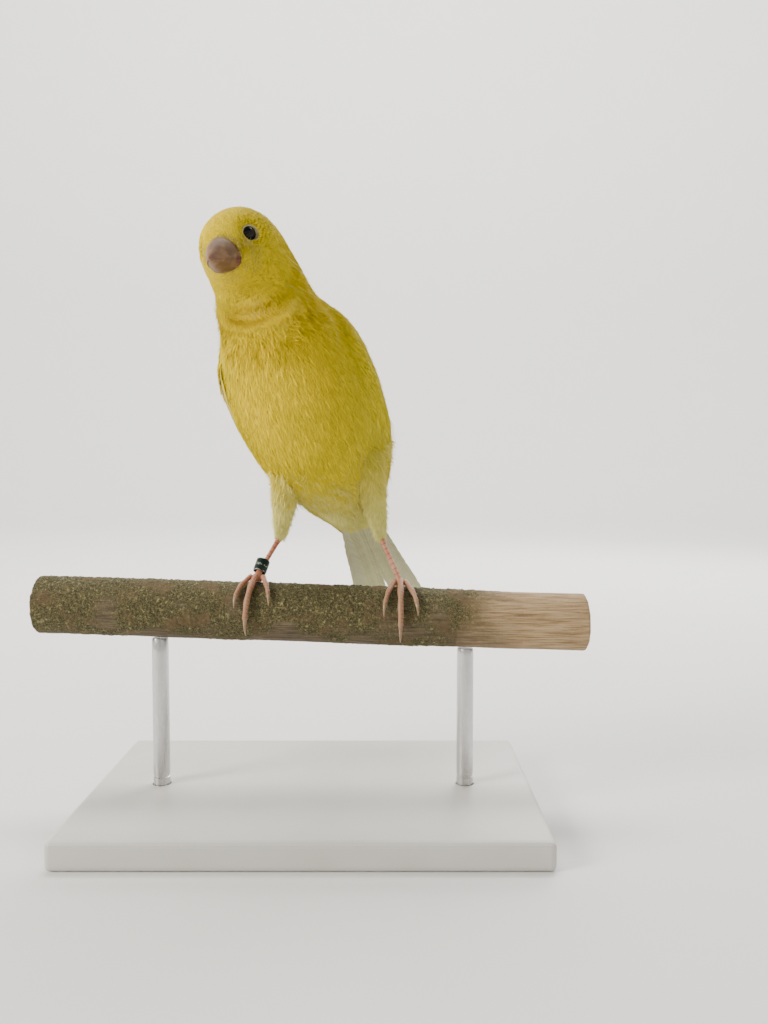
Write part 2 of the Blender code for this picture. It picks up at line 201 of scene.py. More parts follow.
# Stand rods.
# Each is a plain steel rod, set in the base and turned to a shallow groove near its foot. Its top is
# filed to a saddle that fits the branch's round underside. It is drawn and then brushed lengthways.
ROD_RADIUS = 2.5
ROD_SPREAD = 46.0
ROD_FOOT = 4.3
ROD_SIDES = 48
ROD_CHAMFER = 0.22
GROOVE_HEIGHT = 2.2  # above the base
GROOVE_DEPTH = 0.2
BASE_TOP = 8.0
BRANCH_HEIGHT = 60.0
BRANCH_RADIUS = 8.75
BRANCH_LENGTH = 164.0
BRANCH_SLOPE = math.radians(1.9)
GAP = 0.3  # between the branch's solid and what touches it


def branch_height(x):
    """The height of the branch's middle line, which falls evenly to the bird's left."""
    return BRANCH_HEIGHT - x * math.tan(BRANCH_SLOPE)


def full_turn(count):
    """Evenly spaced angles once round."""
    return np.arange(count) * 2 * math.pi / count


def put_in_scene(name, mesh):
    """An object for a mesh, which rides on the model's one body."""
    obj = bpy.data.objects.new(name, mesh)
    bpy.context.scene.collection.objects.link(obj)
    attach(obj, "root")
    return obj


def mesh_from(name, points, faces, smooth=True):
    """A mesh from points in millimetres and faces, turned so that a closed shape faces outwards."""
    points = np.asarray(points, float)
    fans = [np.asarray(f)[:, [0, k, k + 1]] for f in faces for k in range(1, np.shape(f)[1] - 1)]
    a, b, c = (points[np.vstack(fans)[:, k]] for k in range(3))
    if np.einsum("ij,ij->", a, np.cross(b, c)) < 0:
        faces = [np.asarray(f)[:, ::-1] for f in faces]
    counts = np.concatenate([np.full(len(f), np.shape(f)[1]) for f in faces])
    mesh = bpy.data.meshes.new(name)
    mesh.vertices.add(len(points))
    mesh.vertices.foreach_set("co", (points * MM).astype(np.float32).ravel())
    mesh.loops.add(int(counts.sum()))
    mesh.loops.foreach_set("vertex_index", np.concatenate([np.ravel(f) for f in faces]).astype(np.int32))
    mesh.polygons.add(len(counts))
    mesh.polygons.foreach_set("loop_start", (np.cumsum(counts) - counts).astype(np.int32))
    mesh.polygons.foreach_set("use_smooth", np.full(len(counts), smooth))
    mesh.update(calc_edges=True)
    return mesh


def tube_faces(rows, sides):
    """Faces of a tube of rings, whose two ends close on a point each. The points come after the rings."""
    k = np.arange(rows * sides).reshape(rows, sides)
    beside = np.roll(k, -1, axis=1)
    walls = np.stack([k[:-1], beside[:-1], beside[1:], k[1:]], -1).reshape(-1, 4)
    ends = rows * sides + np.arange(2)
    first = np.stack([np.broadcast_to(ends[0], sides), beside[0], k[0]], -1)
    last = np.stack([np.broadcast_to(ends[1], sides), k[-1], beside[-1]], -1)
    return walls, np.vstack([first, last])


def tube_mesh(name, rings, sharp=None):
    """A closed mesh through rings of points (rows, sides, 3), each end closed on the middle of its ring."""
    rings = np.asarray(rings, float)
    rows, sides = rings.shape[:2]
    points = np.vstack([rings.reshape(-1, 3), rings[0].mean(0), rings[-1].mean(0)])
    mesh = mesh_from(name, points, tube_faces(rows, sides))
    if sharp:
        mesh.set_sharp_from_angle(angle=math.radians(sharp))
    return mesh


def brushed_steel():
    """Steel with fine streaks along the rod and a few dull smudges."""
    made, tree, shader = new_material("brushed_steel", 0.3, 1.0, {"Anisotropic": 0.5})
    streaks = noise(tree, object_place(tree, (6.0, 6.0, 0.08)), 1.0, 3.0)
    smudges = noise(tree, object_place(tree), 0.15, 2.0)
    colour = mixed(tree, smudges, (0.50, 0.50, 0.51, 1), (0.62, 0.61, 0.60, 1))
    rough = worked(tree, "ADD", ranged(tree, streaks, 0.3, 0.7, 0.2, 0.36),
                   ranged(tree, smudges, 0.4, 0.7, 0.0, 0.08))
    finish_shader(tree, shader, base_color=colour, roughness=rough,
                  normal=raised(tree, streaks, 0.02, 0.4))
    return made


def rod_rings(x):
    """A turned profile (height, radius) carried round the rod's axis. The last two rings have no height of
    their own: they follow the branch's underside, one of them a chamfer's depth below it."""
    groove, foot = ROD_RADIUS - GROOVE_DEPTH, BASE_TOP + GROOVE_HEIGHT
    profile = ((ROD_FOOT, ROD_RADIUS), (foot, ROD_RADIUS), (foot + 0.15, groove), (foot + 0.7, groove),
               (foot + 0.85, ROD_RADIUS), (30.0, ROD_RADIUS), (48.0, ROD_RADIUS))
    top = ((ROD_RADIUS - 0.08, ROD_CHAMFER), (ROD_RADIUS - 0.2, 0.0))
    turn = full_turn(ROD_SIDES)[None, :]
    height, radius = np.array(profile).T[..., None]
    lower = np.stack(np.broadcast_arrays(x + radius * np.cos(turn), radius * np.sin(turn), height), -1)
    radius, drop = np.array(top).T[..., None]
    along, across = x + radius * np.cos(turn), radius * np.sin(turn)
    saddle = branch_height(along) - np.sqrt((BRANCH_RADIUS + GAP) ** 2 - across**2) - drop
    return np.concatenate([lower, np.stack([along, across, saddle], -1)])


STEEL = brushed_steel()
for side, x in (("left", ROD_SPREAD), ("right", -ROD_SPREAD)):
    rod = put_in_scene(f"rod_{side}", tube_mesh(f"rod_{side}", rod_rings(x), sharp=35))
    wear(rod, STEEL)
    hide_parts(f"stand_rod_{side}")

# Perch.
# A cut length of a thin branch, sawn off at both ends. Its grey-brown bark is grown over with a crust of
# green algae and moss, thickest on top, and is rubbed down to streaky brown wood at the bird's left end.
PERCH_ROWS, PERCH_SIDES = 430, 160
SAWN_EDGE = 0.8  # radius of the rounded edges at the sawn ends
SAWN_RINGS = (0.93, 0.8, 0.62, 0.42, 0.2)  # rings across an end, as shares of its size
BARE_FROM, BARE_FADE = 0.26, 0.12  # where the bark is rubbed off, as shares of the length from the middle


def lattice(shape, cells, rng):
    """Smooth random values on a grid: a coarse net of random numbers, read through soft curves."""
    rows, sides = (np.linspace(0, c, n, endpoint=False) for c, n in zip(cells, shape))
    net = rng.uniform(-1, 1, (cells[0] + 2, cells[1]))
    i, j = rows.astype(int), sides.astype(int)
    s, t = rows - i, sides - j
    s, t = (s * s * (3 - 2 * s))[:, None], (t * t * (3 - 2 * t))[None, :]
    after = (j + 1) % cells[1]
    low = net[i][:, j] * (1 - t) + net[i][:, after] * t
    high = net[i + 1][:, j] * (1 - t) + net[i + 1][:, after] * t
    return low * (1 - s) + high * s


def sawn_end(ring, turn, out):
    """Rings across a sawn end, with a shallow dish and the saw's faint steps."""
    middle = ring.mean(0)
    made = []
    for share in SAWN_RINGS:
        spot = middle + (ring - middle) * share
        steps = 0.05 * np.sin(9 * share + 7 * np.sin(turn))
        spot[:, 0] += out * (steps - 0.25 * (1 - share * share))
        made.append(spot)
    return made


def perch_rings():
    """Rings round the branch's middle line. Each radius is the branch's own, less its worn wood, plus
    ridges along the grain and lumps of moss, which nets of random numbers give at several sizes."""
    rng = np.random.default_rng(11)
    ends = np.linspace(-0.5, 0.5, PERCH_ROWS)
    shape = (PERCH_ROWS, PERCH_SIDES)
    turn = full_turn(PERCH_SIDES)
    worn = np.clip((ends - BARE_FROM) / BARE_FADE, 0, 1)[:, None]
    worn = np.clip(worn + lattice(shape, (18, 7), rng) * 0.25 * (worn > 0) * (worn < 1), 0, 1)
    top = 0.5 + 0.5 * np.sin(turn)[None, :]
    moss = np.clip(0.35 + 0.65 * top + 0.5 * lattice(shape, (22, 9), rng), 0, 1) * (1 - worn)
    lumps = np.abs(lattice(shape, (150, 52), rng)) + 0.7 * np.abs(lattice(shape, (330, 120), rng))
    ridges = lattice(shape, (26, 60), rng) + 0.5 * lattice(shape, (60, 120), rng)
    swell = 0.14 * lattice(shape, (7, 3), rng) + 0.08 * lattice(shape, (20, 8), rng)
    relief = -0.16 + swell + moss * (0.42 * lumps - 0.08) + (1 - moss) * 0.05 * ridges - 0.12 * worn
    edge = (0.5 - np.abs(ends)) * BRANCH_LENGTH
    inside = np.clip(SAWN_EDGE - edge, 0, SAWN_EDGE)
    corner = SAWN_EDGE - np.sqrt(np.clip(SAWN_EDGE**2 - inside**2, 0, None))
    radius = BRANCH_RADIUS * np.minimum(1 + 0.012 * np.sin(ends * BRANCH_LENGTH * 0.11) - 0.02 * ends, 1)
    radius = radius[:, None] + relief - corner[:, None] * (1 + 0.3 * lattice(shape, (40, 30), rng))
    x = ends * BRANCH_LENGTH
    rings = np.stack([np.broadcast_to(x[:, None], shape), np.cos(turn) * radius,
                      np.sin(turn) * radius + branch_height(x)[:, None]], -1)
    right, left = sawn_end(rings[0], turn, -1)[::-1], sawn_end(rings[-1], turn, 1)
    return np.stack([*right, *rings, *left]), moss, worn


def stored(tree, name):
    """The three values that a mesh stores at its points under one name."""
    vector = add(tree, "Attribute", attribute_name=name).outputs["Vector"]
    return add(tree, "SeparateXYZ", {0: vector}).outputs


def bark():
    """Grey-brown bark under a crust of moss, streaky wood where it is worn off, and rings on the ends."""
    made, tree, shader = new_material("mossy_bark", 0.9)
    place = object_place(tree)
    moss, worn, cut = stored(tree, "growth")
    grain = noise(tree, object_place(tree, (0.10, 2.2, 2.2)), 1.0, 5.0, 0.65)
    speck = noise(tree, place, 2.6, 4.0, 0.75)
    pinch = noise(tree, place, 1.1, 3.0, 0.6)
    patch = noise(tree, place, 0.13, 4.0)
    bark_colour = mixed(tree, ranged(tree, grain, 0.35, 0.68), (0.05, 0.036, 0.02, 1),
                        (0.16, 0.118, 0.066, 1))
    moss_colour = mixed(tree, ranged(tree, speck, 0.40, 0.62), (0.022, 0.019, 0.005, 1),
                        (0.125, 0.104, 0.036, 1))
    moss_colour = mixed(tree, ranged(tree, pinch, 0.56, 0.70), moss_colour, (0.23, 0.205, 0.085, 1))
    pits = ranged(tree, pinch, 0.42, 0.30, 0.0, 0.8)
    moss_colour = mixed(tree, pits, moss_colour, (0.025, 0.018, 0.007, 1))
    thin = ranged(tree, patch, 0.50, 0.66, 0.0, 0.75)
    moss_colour = mixed(tree, thin, moss_colour, (0.105, 0.066, 0.028, 1))
    wood = mixed(tree, ranged(tree, grain, 0.3, 0.7), (0.20, 0.115, 0.05, 1), (0.46, 0.33, 0.18, 1))
    wood = mixed(tree, ranged(tree, speck, 0.62, 0.72), wood, (0.60, 0.50, 0.33, 1))
    colour = mixed(tree, ranged(tree, moss, 0.15, 0.6), bark_colour, moss_colour)
    colour = mixed(tree, worn, colour, wood)
    middle = add(tree, "Mapping", {"Vector": place, "Location": (0, 0, -BRANCH_HEIGHT)}).outputs[0]
    spread = add(tree, "VectorMath", {0: middle, 1: (0, 1, 1)}, operation="MULTIPLY").outputs[0]
    radius = add(tree, "VectorMath", {0: spread}, operation="LENGTH").outputs["Value"]
    years = worked(tree, "SINE", worked(tree, "MULTIPLY", radius, 5.0))
    sawn = mixed(tree, ranged(tree, years, -1, 1), (0.36, 0.26, 0.15, 1), (0.55, 0.43, 0.27, 1))
    colour = mixed(tree, cut, colour, sawn)
    height = worked(tree, "ADD", speck, worked(tree, "MULTIPLY", grain, 0.7))
    finish_shader(tree, shader, base_color=colour, normal=raised(tree, height, 0.22, 0.9))
    return made


def point_vector(mesh, name, *values):
    """Stores up to three values at each point as one attribute, for its material to read."""
    count = len(mesh.vertices)
    full = np.zeros((count, 3), np.float32)
    for k, value in enumerate(values):
        full[:, k] = np.resize(value, count) if np.ndim(value) == 0 else value
    layer = mesh.attributes.new(name, "FLOAT_VECTOR", "POINT")
    layer.data.foreach_set("vector", full.ravel())


rings, moss, worn = perch_rings()
perch = put_in_scene("mossy_perch", tube_mesh("mossy_perch", rings, sharp=60))
ends = np.zeros((len(SAWN_RINGS), PERCH_SIDES))
point_vector(
    perch.data,
    "growth",
    np.append(np.vstack([ends, moss, ends]), [0, 0]),
    np.append(np.vstack([ends, worn, ends]), [0, 0]),
    np.append(np.vstack([ends + 1, moss * 0, ends + 1]), [1, 1]),
)
wear(perch, bark())
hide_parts("perch")

# Body skin.
# One thin skin covers head, neck, trunk, thighs and bare legs. The feathered part is soft and dull yellow
# under the coat. It follows the solids' own sections, drawn in by the depth of the coat, and dips into a
# shallow dish round each eye, where the lids close on the eyeball.
class Frame:
    """A part of the bird's own axes: forward towards the bill, up its back and left to its left side."""

    def __init__(self, middle, pose):
        y, p, k = np.radians(pose)
        lean = np.array([[math.cos(k), 0, -math.sin(k)], [0, 1, 0], [math.sin(k), 0, math.cos(k)]])
        turn = np.array([[math.cos(y), math.sin(y), 0], [-math.sin(y), math.cos(y), 0], [0, 0, 1]])
        self.middle = np.array(middle, float)
        self.forward = lean @ turn @ np.array([0, -math.cos(p), math.sin(p)])
        self.up = lean @ turn @ np.array([0, math.sin(p), math.cos(p)])
        self.left = np.cross(self.up, self.forward)

    def at(self, forward, up=0.0, left=0.0):
        """Points so many millimetres along the three axes."""
        forward, up, left = (np.asarray(v, float)[..., None] for v in (forward, up, left))
        return self.middle + forward * self.forward + up * self.up + left * self.left


TRUNK = Frame((-0.2, -5.0, 120.7), (4.0, 62.0, 19.6))
HEAD = Frame((-17.2, -24.0, 161.9), (16.5, -5.5, 13.0))
TAIL = Frame(TRUNK.at(-41.0, 1.0), (4.0, 52.0, 17.8))
SIDES = {"left": 1.0, "right": -1.0}

# Name, frame, back outline and belly outline (forward, up), half width, how high the widest line lies and
# the depth of the coat there
BODY_SECTIONS = (
    ("bill_base", HEAD, (10.5, 2.6), (10.2, -6.8), 4.9, 0.0, 0.3),
    ("forehead", HEAD, (9.0, 6.2), (8.0, -8.3), 7.4, 0.0, 0.5),
    ("eye", HEAD, (5.4, 9.2), (5.6, -9.7), 9.2, 0.08, 0.6),
    ("crown", HEAD, (-0.6, 11.1), (3.2, -11.4), 11.1, 0.05, 0.7),
    ("hind_crown", HEAD, (-7.6, 9.2), (1.6, -14.0), 11.9, -0.05, 0.8),
    ("nape", HEAD, (-11.8, 2.2), (0.6, -17.2), 12.7, 0.0, 0.9),
    ("neck", TRUNK, (32.0, 13.0), (30.0, -13.4), 14.1, 0.0, 1.1),
    ("shoulder", TRUNK, (21.0, 15.2), (20.5, -17.0), 17.7, 0.05, 1.2),
    ("breast", TRUNK, (8.0, 16.6), (8.0, -19.6), 20.0, 0.08, 1.3),
    ("belly", TRUNK, (-6.0, 16.2), (-6.5, -19.4), 19.4, 0.05, 1.3),
    ("flank", TRUNK, (-18.0, 13.8), (-19.5, -15.4), 16.5, 0.0, 1.3),
    ("vent", TRUNK, (-29.0, 10.0), (-29.6, -9.4), 12.2, 0.0, 1.3),
    ("tail_root", TRUNK, (-39.5, 4.8), (-40.8, -2.8), 6.8, 0.0, 1.1),
)
NECK_PLACE, TAIL_PLACE = 5.5, 12.0  # the neck's top and the tail root, counted in sections
EYE_RADIUS = 2.5
EYE_PLACE = (4.5, 2.05, 5.0)
EYE_LOOK = (0.62, 0.02, 0.78)
LID_RADIUS = 2.05  # middle of the lid, out from the eye's axis
LID_HEIGHT = 1.62  # and along that axis, out from the middle of the eyeball
LID_HALF = 0.24
DISH_RADIUS, DISH_DEPTH, DISH_AHEAD = 3.2, 1.6, 0.8


def smooth(values, at):
    """The values of a run of sections, read at any place along it through one smooth curve."""
    values = np.asarray(values, float)
    last = len(values) - 1
    i = np.clip(np.floor(at).astype(int), 0, last - 1)
    t = (np.asarray(at, float) - i).reshape(-1, *[1] * (values.ndim - 1))
    before, here, after = values[np.maximum(i - 1, 0)], values[i], values[i + 1]
    beyond = values[np.minimum(i + 2, last)]
    start, end = (after - before) / 2, (beyond - here) / 2
    start = np.where((i == 0).reshape(t.shape), after - here, start)
    end = np.where((i == last - 1).reshape(t.shape), after - here, end)
    return (here * (2 * t**3 - 3 * t**2 + 1) + start * (t**3 - 2 * t**2 + t)
            + after * (3 * t**2 - 2 * t**3) + end * (t**3 - t**2))


def unit(vectors):
    """Vectors of the same directions, one long."""
    return vectors / np.maximum(np.linalg.norm(vectors, axis=-1, keepdims=True), 1e-9)


def eye_axes(side):
    """The middle of an eyeball, the direction in which it looks, and those across and up from that."""
    forward, up, out = EYE_PLACE
    look = EYE_LOOK[0] * HEAD.forward + EYE_LOOK[1] * HEAD.up + EYE_LOOK[2] * SIDES[side] * HEAD.left
    look = unit(look)
    across = unit(np.cross(HEAD.up, look))
    return HEAD.at(forward, up, out * SIDES[side]), look, across, np.cross(look, across)


EYES = {side: eye_axes(side) for side in SIDES}


def from_eye(points):
    """How far points lie from the nearer eye's axis, on the side that this eye looks to."""
    nearest = np.full(points.shape[:-1], 99.0)
    for middle, look, *_ in EYES.values():
        away = points - middle
        ahead = away @ look
        aside = np.linalg.norm(away - ahead[..., None] * look, axis=-1)
        nearest = np.where(ahead > 0, np.minimum(nearest, aside), nearest)
    return nearest


BODY_LINES = (
    np.array([f.at(*b) for _, f, b, *_ in BODY_SECTIONS]),
    np.array([f.at(*v) for _, f, _, v, *_ in BODY_SECTIONS]),
    np.array([f.left for _, f, *_ in BODY_SECTIONS]),
)
BODY_NUMBERS = np.array([section[-3:] for section in BODY_SECTIONS])


def body_surface(place, turn, depth=0.0, share=0.0):
    """Points of the body. Place runs from the bill (0) to the tail root (12), and turn goes round each
    egg-shaped section from its left over its back. The section is drawn in by a depth in millimetres and
    by a share of the coat's own depth there, and dips round the eyes by a bell curve."""
    place, turn = np.broadcast_arrays(np.asarray(place, float), np.asarray(turn, float))
    shape = place.shape
    place, turn = place.ravel(), turn.ravel()
    back, belly, left = (smooth(lines, place) for lines in BODY_LINES)
    width, wide, coat = smooth(BODY_NUMBERS, place).T
    inward = np.broadcast_to(depth, shape).ravel() + np.broadcast_to(share, shape).ravel() * coat
    rise = (back - belly) / 2
    height = np.linalg.norm(rise, axis=1)
    up = rise / height[:, None]
    left = unit(left - (left * up).sum(1, keepdims=True) * up)
    level = np.sin(turn)
    level = wide + np.where(level > 0, 1 - wide, 1 + wide) * level
    found = (back + belly) / 2 + (np.cos(turn) * (width - inward))[:, None] * left
    found += (level * (height - inward))[:, None] * up
    head = place < NECK_PLACE
    for middle, look, *_ in EYES.values():
        away = found[head] - middle - DISH_AHEAD * HEAD.forward
        ahead = away @ look
        aside = np.linalg.norm(away - ahead[:, None] * look, axis=1)
        dip = DISH_DEPTH * np.exp(-((aside / DISH_RADIUS) ** 3)) * (ahead > 0)
        found[head] -= dip[:, None] * look
    return found.reshape(*shape, 3)


def band_mesh(name, points):
    """A closed band over a grid of points (round, section) that joins up with itself both ways."""
    k = np.arange(points.shape[0] * points.shape[1]).reshape(points.shape[:2])
    beside = np.roll(k, -1, axis=0)
    faces = np.stack([k, beside, np.roll(beside, -1, axis=1), np.roll(k, -1, axis=1)], -1).reshape(-1, 4)
    return mesh_from(name, points.reshape(-1, 3), [faces])


def lid(side):
    """A lid ring: a small round section carried round the eye's axis, a little oval and finely wrinkled."""
    middle, look, across, up = EYES[side]
    turn = full_turn(96)[:, None]
    section = full_turn(14)[None, :]
    wrinkle = 1 + 0.10 * np.sin(turn * 23 + 2 * np.sin(turn * 3))
    radius = LID_RADIUS * (1 - 0.04 * np.sin(turn) ** 2) + LID_HALF * wrinkle * np.cos(section)
    height = LID_HEIGHT + 0.08 * np.sin(turn) + 0.2 * np.sin(section) * wrinkle
    points = (middle + (radius * np.cos(turn))[..., None] * across
              + (radius * np.sin(turn))[..., None] * up + height[..., None] * look)
    return band_mesh(f"{side}_lid", points)


def turned_on_eye(name, side, height, radius, sides):
    """A turned shape: its radius at each height along the eye's axis, carried round that axis."""
    middle, look, across, up = EYES[side]
    turn = full_turn(sides)[:, None]
    rings = (middle + np.asarray(height)[:, None, None] * look
             + np.asarray(radius)[:, None, None] * (np.cos(turn) * across + np.sin(turn) * up))
    return tube_mesh(name, rings)


def eye_pit(side):
    """The room for the eyeball, and its opening, widening outwards."""
    height = (-2.75, -2.3, -1.2, 0.2, 1.1, 1.5, 1.7, 2.1, 3.0, 5.0)
    radius = (0.05, 1.55, 2.45, 2.72, 2.45, 2.15, 2.05, 2.1, 2.4, 3.6)
    return turned_on_eye(f"{side}_eye_pit", side, height, radius, 48)


HIPS = {"left": (11.5, -6.0, 114.0), "right": (-4.0, -6.0, 111.0)}
KNEES = {"left": (16.6, -3.5, 103.5), "right": (-6.7, -3.5, 102.5)}
ANKLES = {"left": (20.4, 9.5, 82.4), "right": (-10.7, 9.5, 82.4)}
THIGH_RADII = (2.8, 4.8, 5.9, 6.0, 5.4, 4.6, 3.8, 2.8, 1.6)  # evenly from hip to ankle
THIGH_ROWS = 60


def frames_along(path, up):
    """Directions across a path and upward from it, at each of its points."""
    along = unit(np.gradient(path, axis=0))
    across = unit(np.cross(np.broadcast_to(up, along.shape), along))
    return across, np.cross(along, across)


def thigh_surface(side):
    """A function like body_surface for the feathered upper leg: place from the hip (0) to the ankle (1)."""
    share = np.linspace(0, 1, THIGH_ROWS)
    path = smooth([HIPS[side], KNEES[side], ANKLES[side]], share * 2)
    radii = smooth(THIGH_RADII, share * 8)
    across, rise = frames_along(path, (0, -1, 0))
    lines = np.hstack([path, across, rise, radii[:, None]])

    def surface(place, turn, depth=0.0, share=0.0):
        place, turn = np.broadcast_arrays(np.asarray(place, float), np.asarray(turn, float))
        found = smooth(lines, place.ravel() * (THIGH_ROWS - 1))
        inward = np.broadcast_to(depth, place.shape).ravel()
        coat = np.interp(place.ravel(), (0, 0.6, 1), (1.3, 1.1, 0.6))
        radius = found[:, 9] - inward - np.broadcast_to(share, place.shape).ravel() * coat
        out = (0.9 * radius * np.cos(turn.ravel()))[:, None] * found[:, 3:6]
        out += (radius * np.sin(turn.ravel()))[:, None] * found[:, 6:9]
        return (found[:, :3] + out).reshape(*place.shape, 3)

    return surface


def skin_rings(surface, start, end, rows, sides):
    """Rings round a surface, drawn in by the whole depth of the coat."""
    place = np.linspace(start, end, rows)[:, None]
    return surface(place, full_turn(sides)[None, :], 0.0, 1.0)


# Bare legs.
# The lower leg and toes are pink skin over thin bone. Broad horny plates overlap down the front of the leg
# and the top of each toe, and small soft pads bulge under the toe joints, where the bird grips.
FOOT_X = {"left": 26.0, "right": -16.3}
PLATE_STEP = 0.06
PEBBLE = 0.035
PAD_HEIGHT = 2.2
PAD_LEVELS = (1.55, 0.95, 0.35, 0.1)
PAD_RADII = (1.5, 1.72, 1.6, 0.9)
# The bare leg's radius, at shares of the way from ankle to pad
LEG_RADII = ((-0.04, 0.02, 0.11, 0.2, 0.45, 0.75, 0.9, 1.0), (1.1, 1.12, 0.98, 0.82, 0.74, 0.78, 0.9, 1.05))
LEG_PLATES = 9
TOE_PLATES = 0.9  # to a millimetre
TOE_END = (0.97, 0.9, 0.78, 0.6, 0.35)  # shares of its radius, where a toe closes on its claw
TOE_UP = (1, 0, 0)
# Name, radius, where it leaves the foot and how far it reaches along the branch, length, claw length
TOES = {
    "left": (
        ("inner_toe", 0.8, -1.0, -3.5, 10.3, 3.7),
        ("middle_toe", 0.95, 0.5, -0.2, 17.1, 6.2),
        ("outer_toe", 0.8, 1.5, 3.9, 9.8, 3.5),
        ("hind_toe", 0.9, 0.2, 0.6, 9.0, 6.0),
    ),
    "right": (
        ("outer_toe", 0.8, -1.9, -3.9, 9.6, 3.2),
        ("middle_toe", 0.95, -0.4, -2.3, 16.6, 5.6),
        ("inner_toe", 0.8, 1.3, 2.9, 8.3, 3.4),
        ("hind_toe", 0.9, -0.2, -0.6, 9.0, 6.0),
    ),
}


def on_branch(x, turn, radius):
    """A point at a radius from the branch's middle line, turned from its top towards the front."""
    x, turn, radius = np.broadcast_arrays(np.asarray(x, float), turn, radius)
    return np.stack([x, -radius * np.sin(turn), branch_height(x) + radius * np.cos(turn)], -1)


def toe_path(side, name, girth, leaves, reach, length, claw, distances, lift):
    """Points that far round the branch from its top, lifted clear of the wood, fanned out along it."""
    hind = -1.0 if name == "hind_toe" else 1.0
    aside = leaves + reach * np.sin(math.pi / 2 * np.clip(distances, 0, None) / (length + claw))
    turn = hind * distances / (BRANCH_RADIUS + GAP + girth)
    return on_branch(FOOT_X[side] + aside, turn, BRANCH_RADIUS + GAP + lift)


def scuted_tube(path, radius, up, plates, sides, flat=1.0, twist=0.0):
    """A tube whose upper side is covered by overlapping plates, and whose underside is finely pebbled: each
    plate rises like a saw's tooth along the tube and drops at its edge. Returns its rings and, for each
    point, how deep in a groove between two plates it lies."""
    across, rise = frames_along(path, up)
    turn = twist + full_turn(sides)
    along = np.linspace(0, plates, len(path))[:, None]
    tooth = (along + 0.10 * np.cos(turn * 2)[None, :]) % 1.0
    over = np.clip(0.55 + 0.75 * np.sin(turn), 0, 1)[None, :]
    plate = over * PLATE_STEP * (0.55 * tooth + 0.45 * np.clip(tooth / 0.18, 0, 1) - 0.45)
    under = np.clip(-0.2 - np.sin(turn), 0, 1)[None, :]
    pebble = under * PEBBLE * np.sin(along * 2 * math.pi * 2.6) * np.sin(turn * 7)[None, :]
    full = radius[:, None] + plate + pebble
    rings = (path[:, None] + (full * np.cos(turn) * flat)[..., None] * across[:, None]
             + (full * np.sin(turn))[..., None] * rise[:, None])
    groove = over * np.clip(1 - np.minimum(tooth, 1 - tooth) / 0.10, 0, 1)
    return rings, groove


def leg_parts(side):
    """The lower leg, the pad and the four toes, each as a closed mesh that overlaps the next."""
    ankle = np.array(ANKLES[side])
    foot = on_branch(FOOT_X[side], 0.0, BRANCH_RADIUS + GAP + 0.1)
    share = np.linspace(-0.04, 1, 150)[:, None]
    pad = [foot + (0, 0, level) for level in PAD_LEVELS]
    pad[0][1] -= 0.05
    path = np.vstack([(foot + (0, 0, PAD_HEIGHT) - ankle) * share + ankle, *pad])
    radius = np.append(np.interp(share[:, 0], *LEG_RADII), PAD_RADII)
    yield scuted_tube(path, radius, (0, -1, 0), LEG_PLATES, sides=40, flat=0.95)
    for k, sizes in enumerate(TOES[side], 1):
        _, girth, _, _, length, _ = sizes
        bones = 3 if length > 14 else 2
        start = 0.25 + 0.13 * k
        count = int(length * 9)
        share = np.linspace(0, 1, count)
        knuckle = 1 + 0.10 * np.cos(2 * math.pi * share * bones)
        radius = (girth - 0.2 * share) * knuckle
        radius[-len(TOE_END):] *= TOE_END
        lift = girth * 1.09 + 0.6 * np.clip(1 - 3 * share, 0, 1)
        path = toe_path(side, *sizes, start + (length + 0.12 - start) * share, lift)
        yield scuted_tube(path, radius, TOE_UP, TOE_PLATES * length, sides=30, twist=0.037 * k)


def united(name, meshes, taken, materials):
    """One closed mesh out of several that overlap, less the shapes that are taken out of it. Each face
    keeps the material that it had."""
    work = [bpy.data.objects.new(f"{name}_part", mesh) for mesh in (*meshes, *taken)]
    for obj in work:
        bpy.context.scene.collection.objects.link(obj)
        for one in materials:
            obj.data.materials.append(one)
    for k, obj in enumerate(work[1:], 1):
        step = work[0].modifiers.new("step", "BOOLEAN")
        step.operation = "UNION" if k < len(meshes) else "DIFFERENCE"
        step.solver = "MANIFOLD"
        step.object = obj
    bpy.context.view_layer.update()
    evaluated = work[0].evaluated_get(bpy.context.evaluated_depsgraph_get())
    mesh = bpy.data.meshes.new_from_object(evaluated)
    mesh.name = name
    for obj in work:
        bpy.data.objects.remove(obj)
    return mesh


# Plumage markings: canary yellow, strongest on crown, throat and breast, frosted with a paler yellow on
# flanks and back, and pale under the tail, where painted shade tones it down to a greenish olive. Beside
# the bill it is darker, partly dusky skin between the bristles and partly painted shade, and a browner
# yellow in the fold of the throat is painted shade under the head. Skin and coat share them.
MARKINGS, entry, leaving = new_group(
    "plumage_markings", outputs=(("Colour", "Color"), ("Pale", "Float"))
)
place = object_place(MARKINGS)


def ball(tree, place, middle, radii, soft=0.5):
    """One inside an oval region and nought outside it, with a soft border."""
    away = add(tree, "VectorMath", {0: place, 1: middle}, operation="SUBTRACT").outputs[0]
    away = add(tree, "VectorMath", {0: away, 1: radii}, operation="DIVIDE").outputs[0]
    far = add(tree, "VectorMath", {0: away}, operation="LENGTH").outputs["Value"]
    return ranged(tree, far, 1 + soft, 1 - soft)
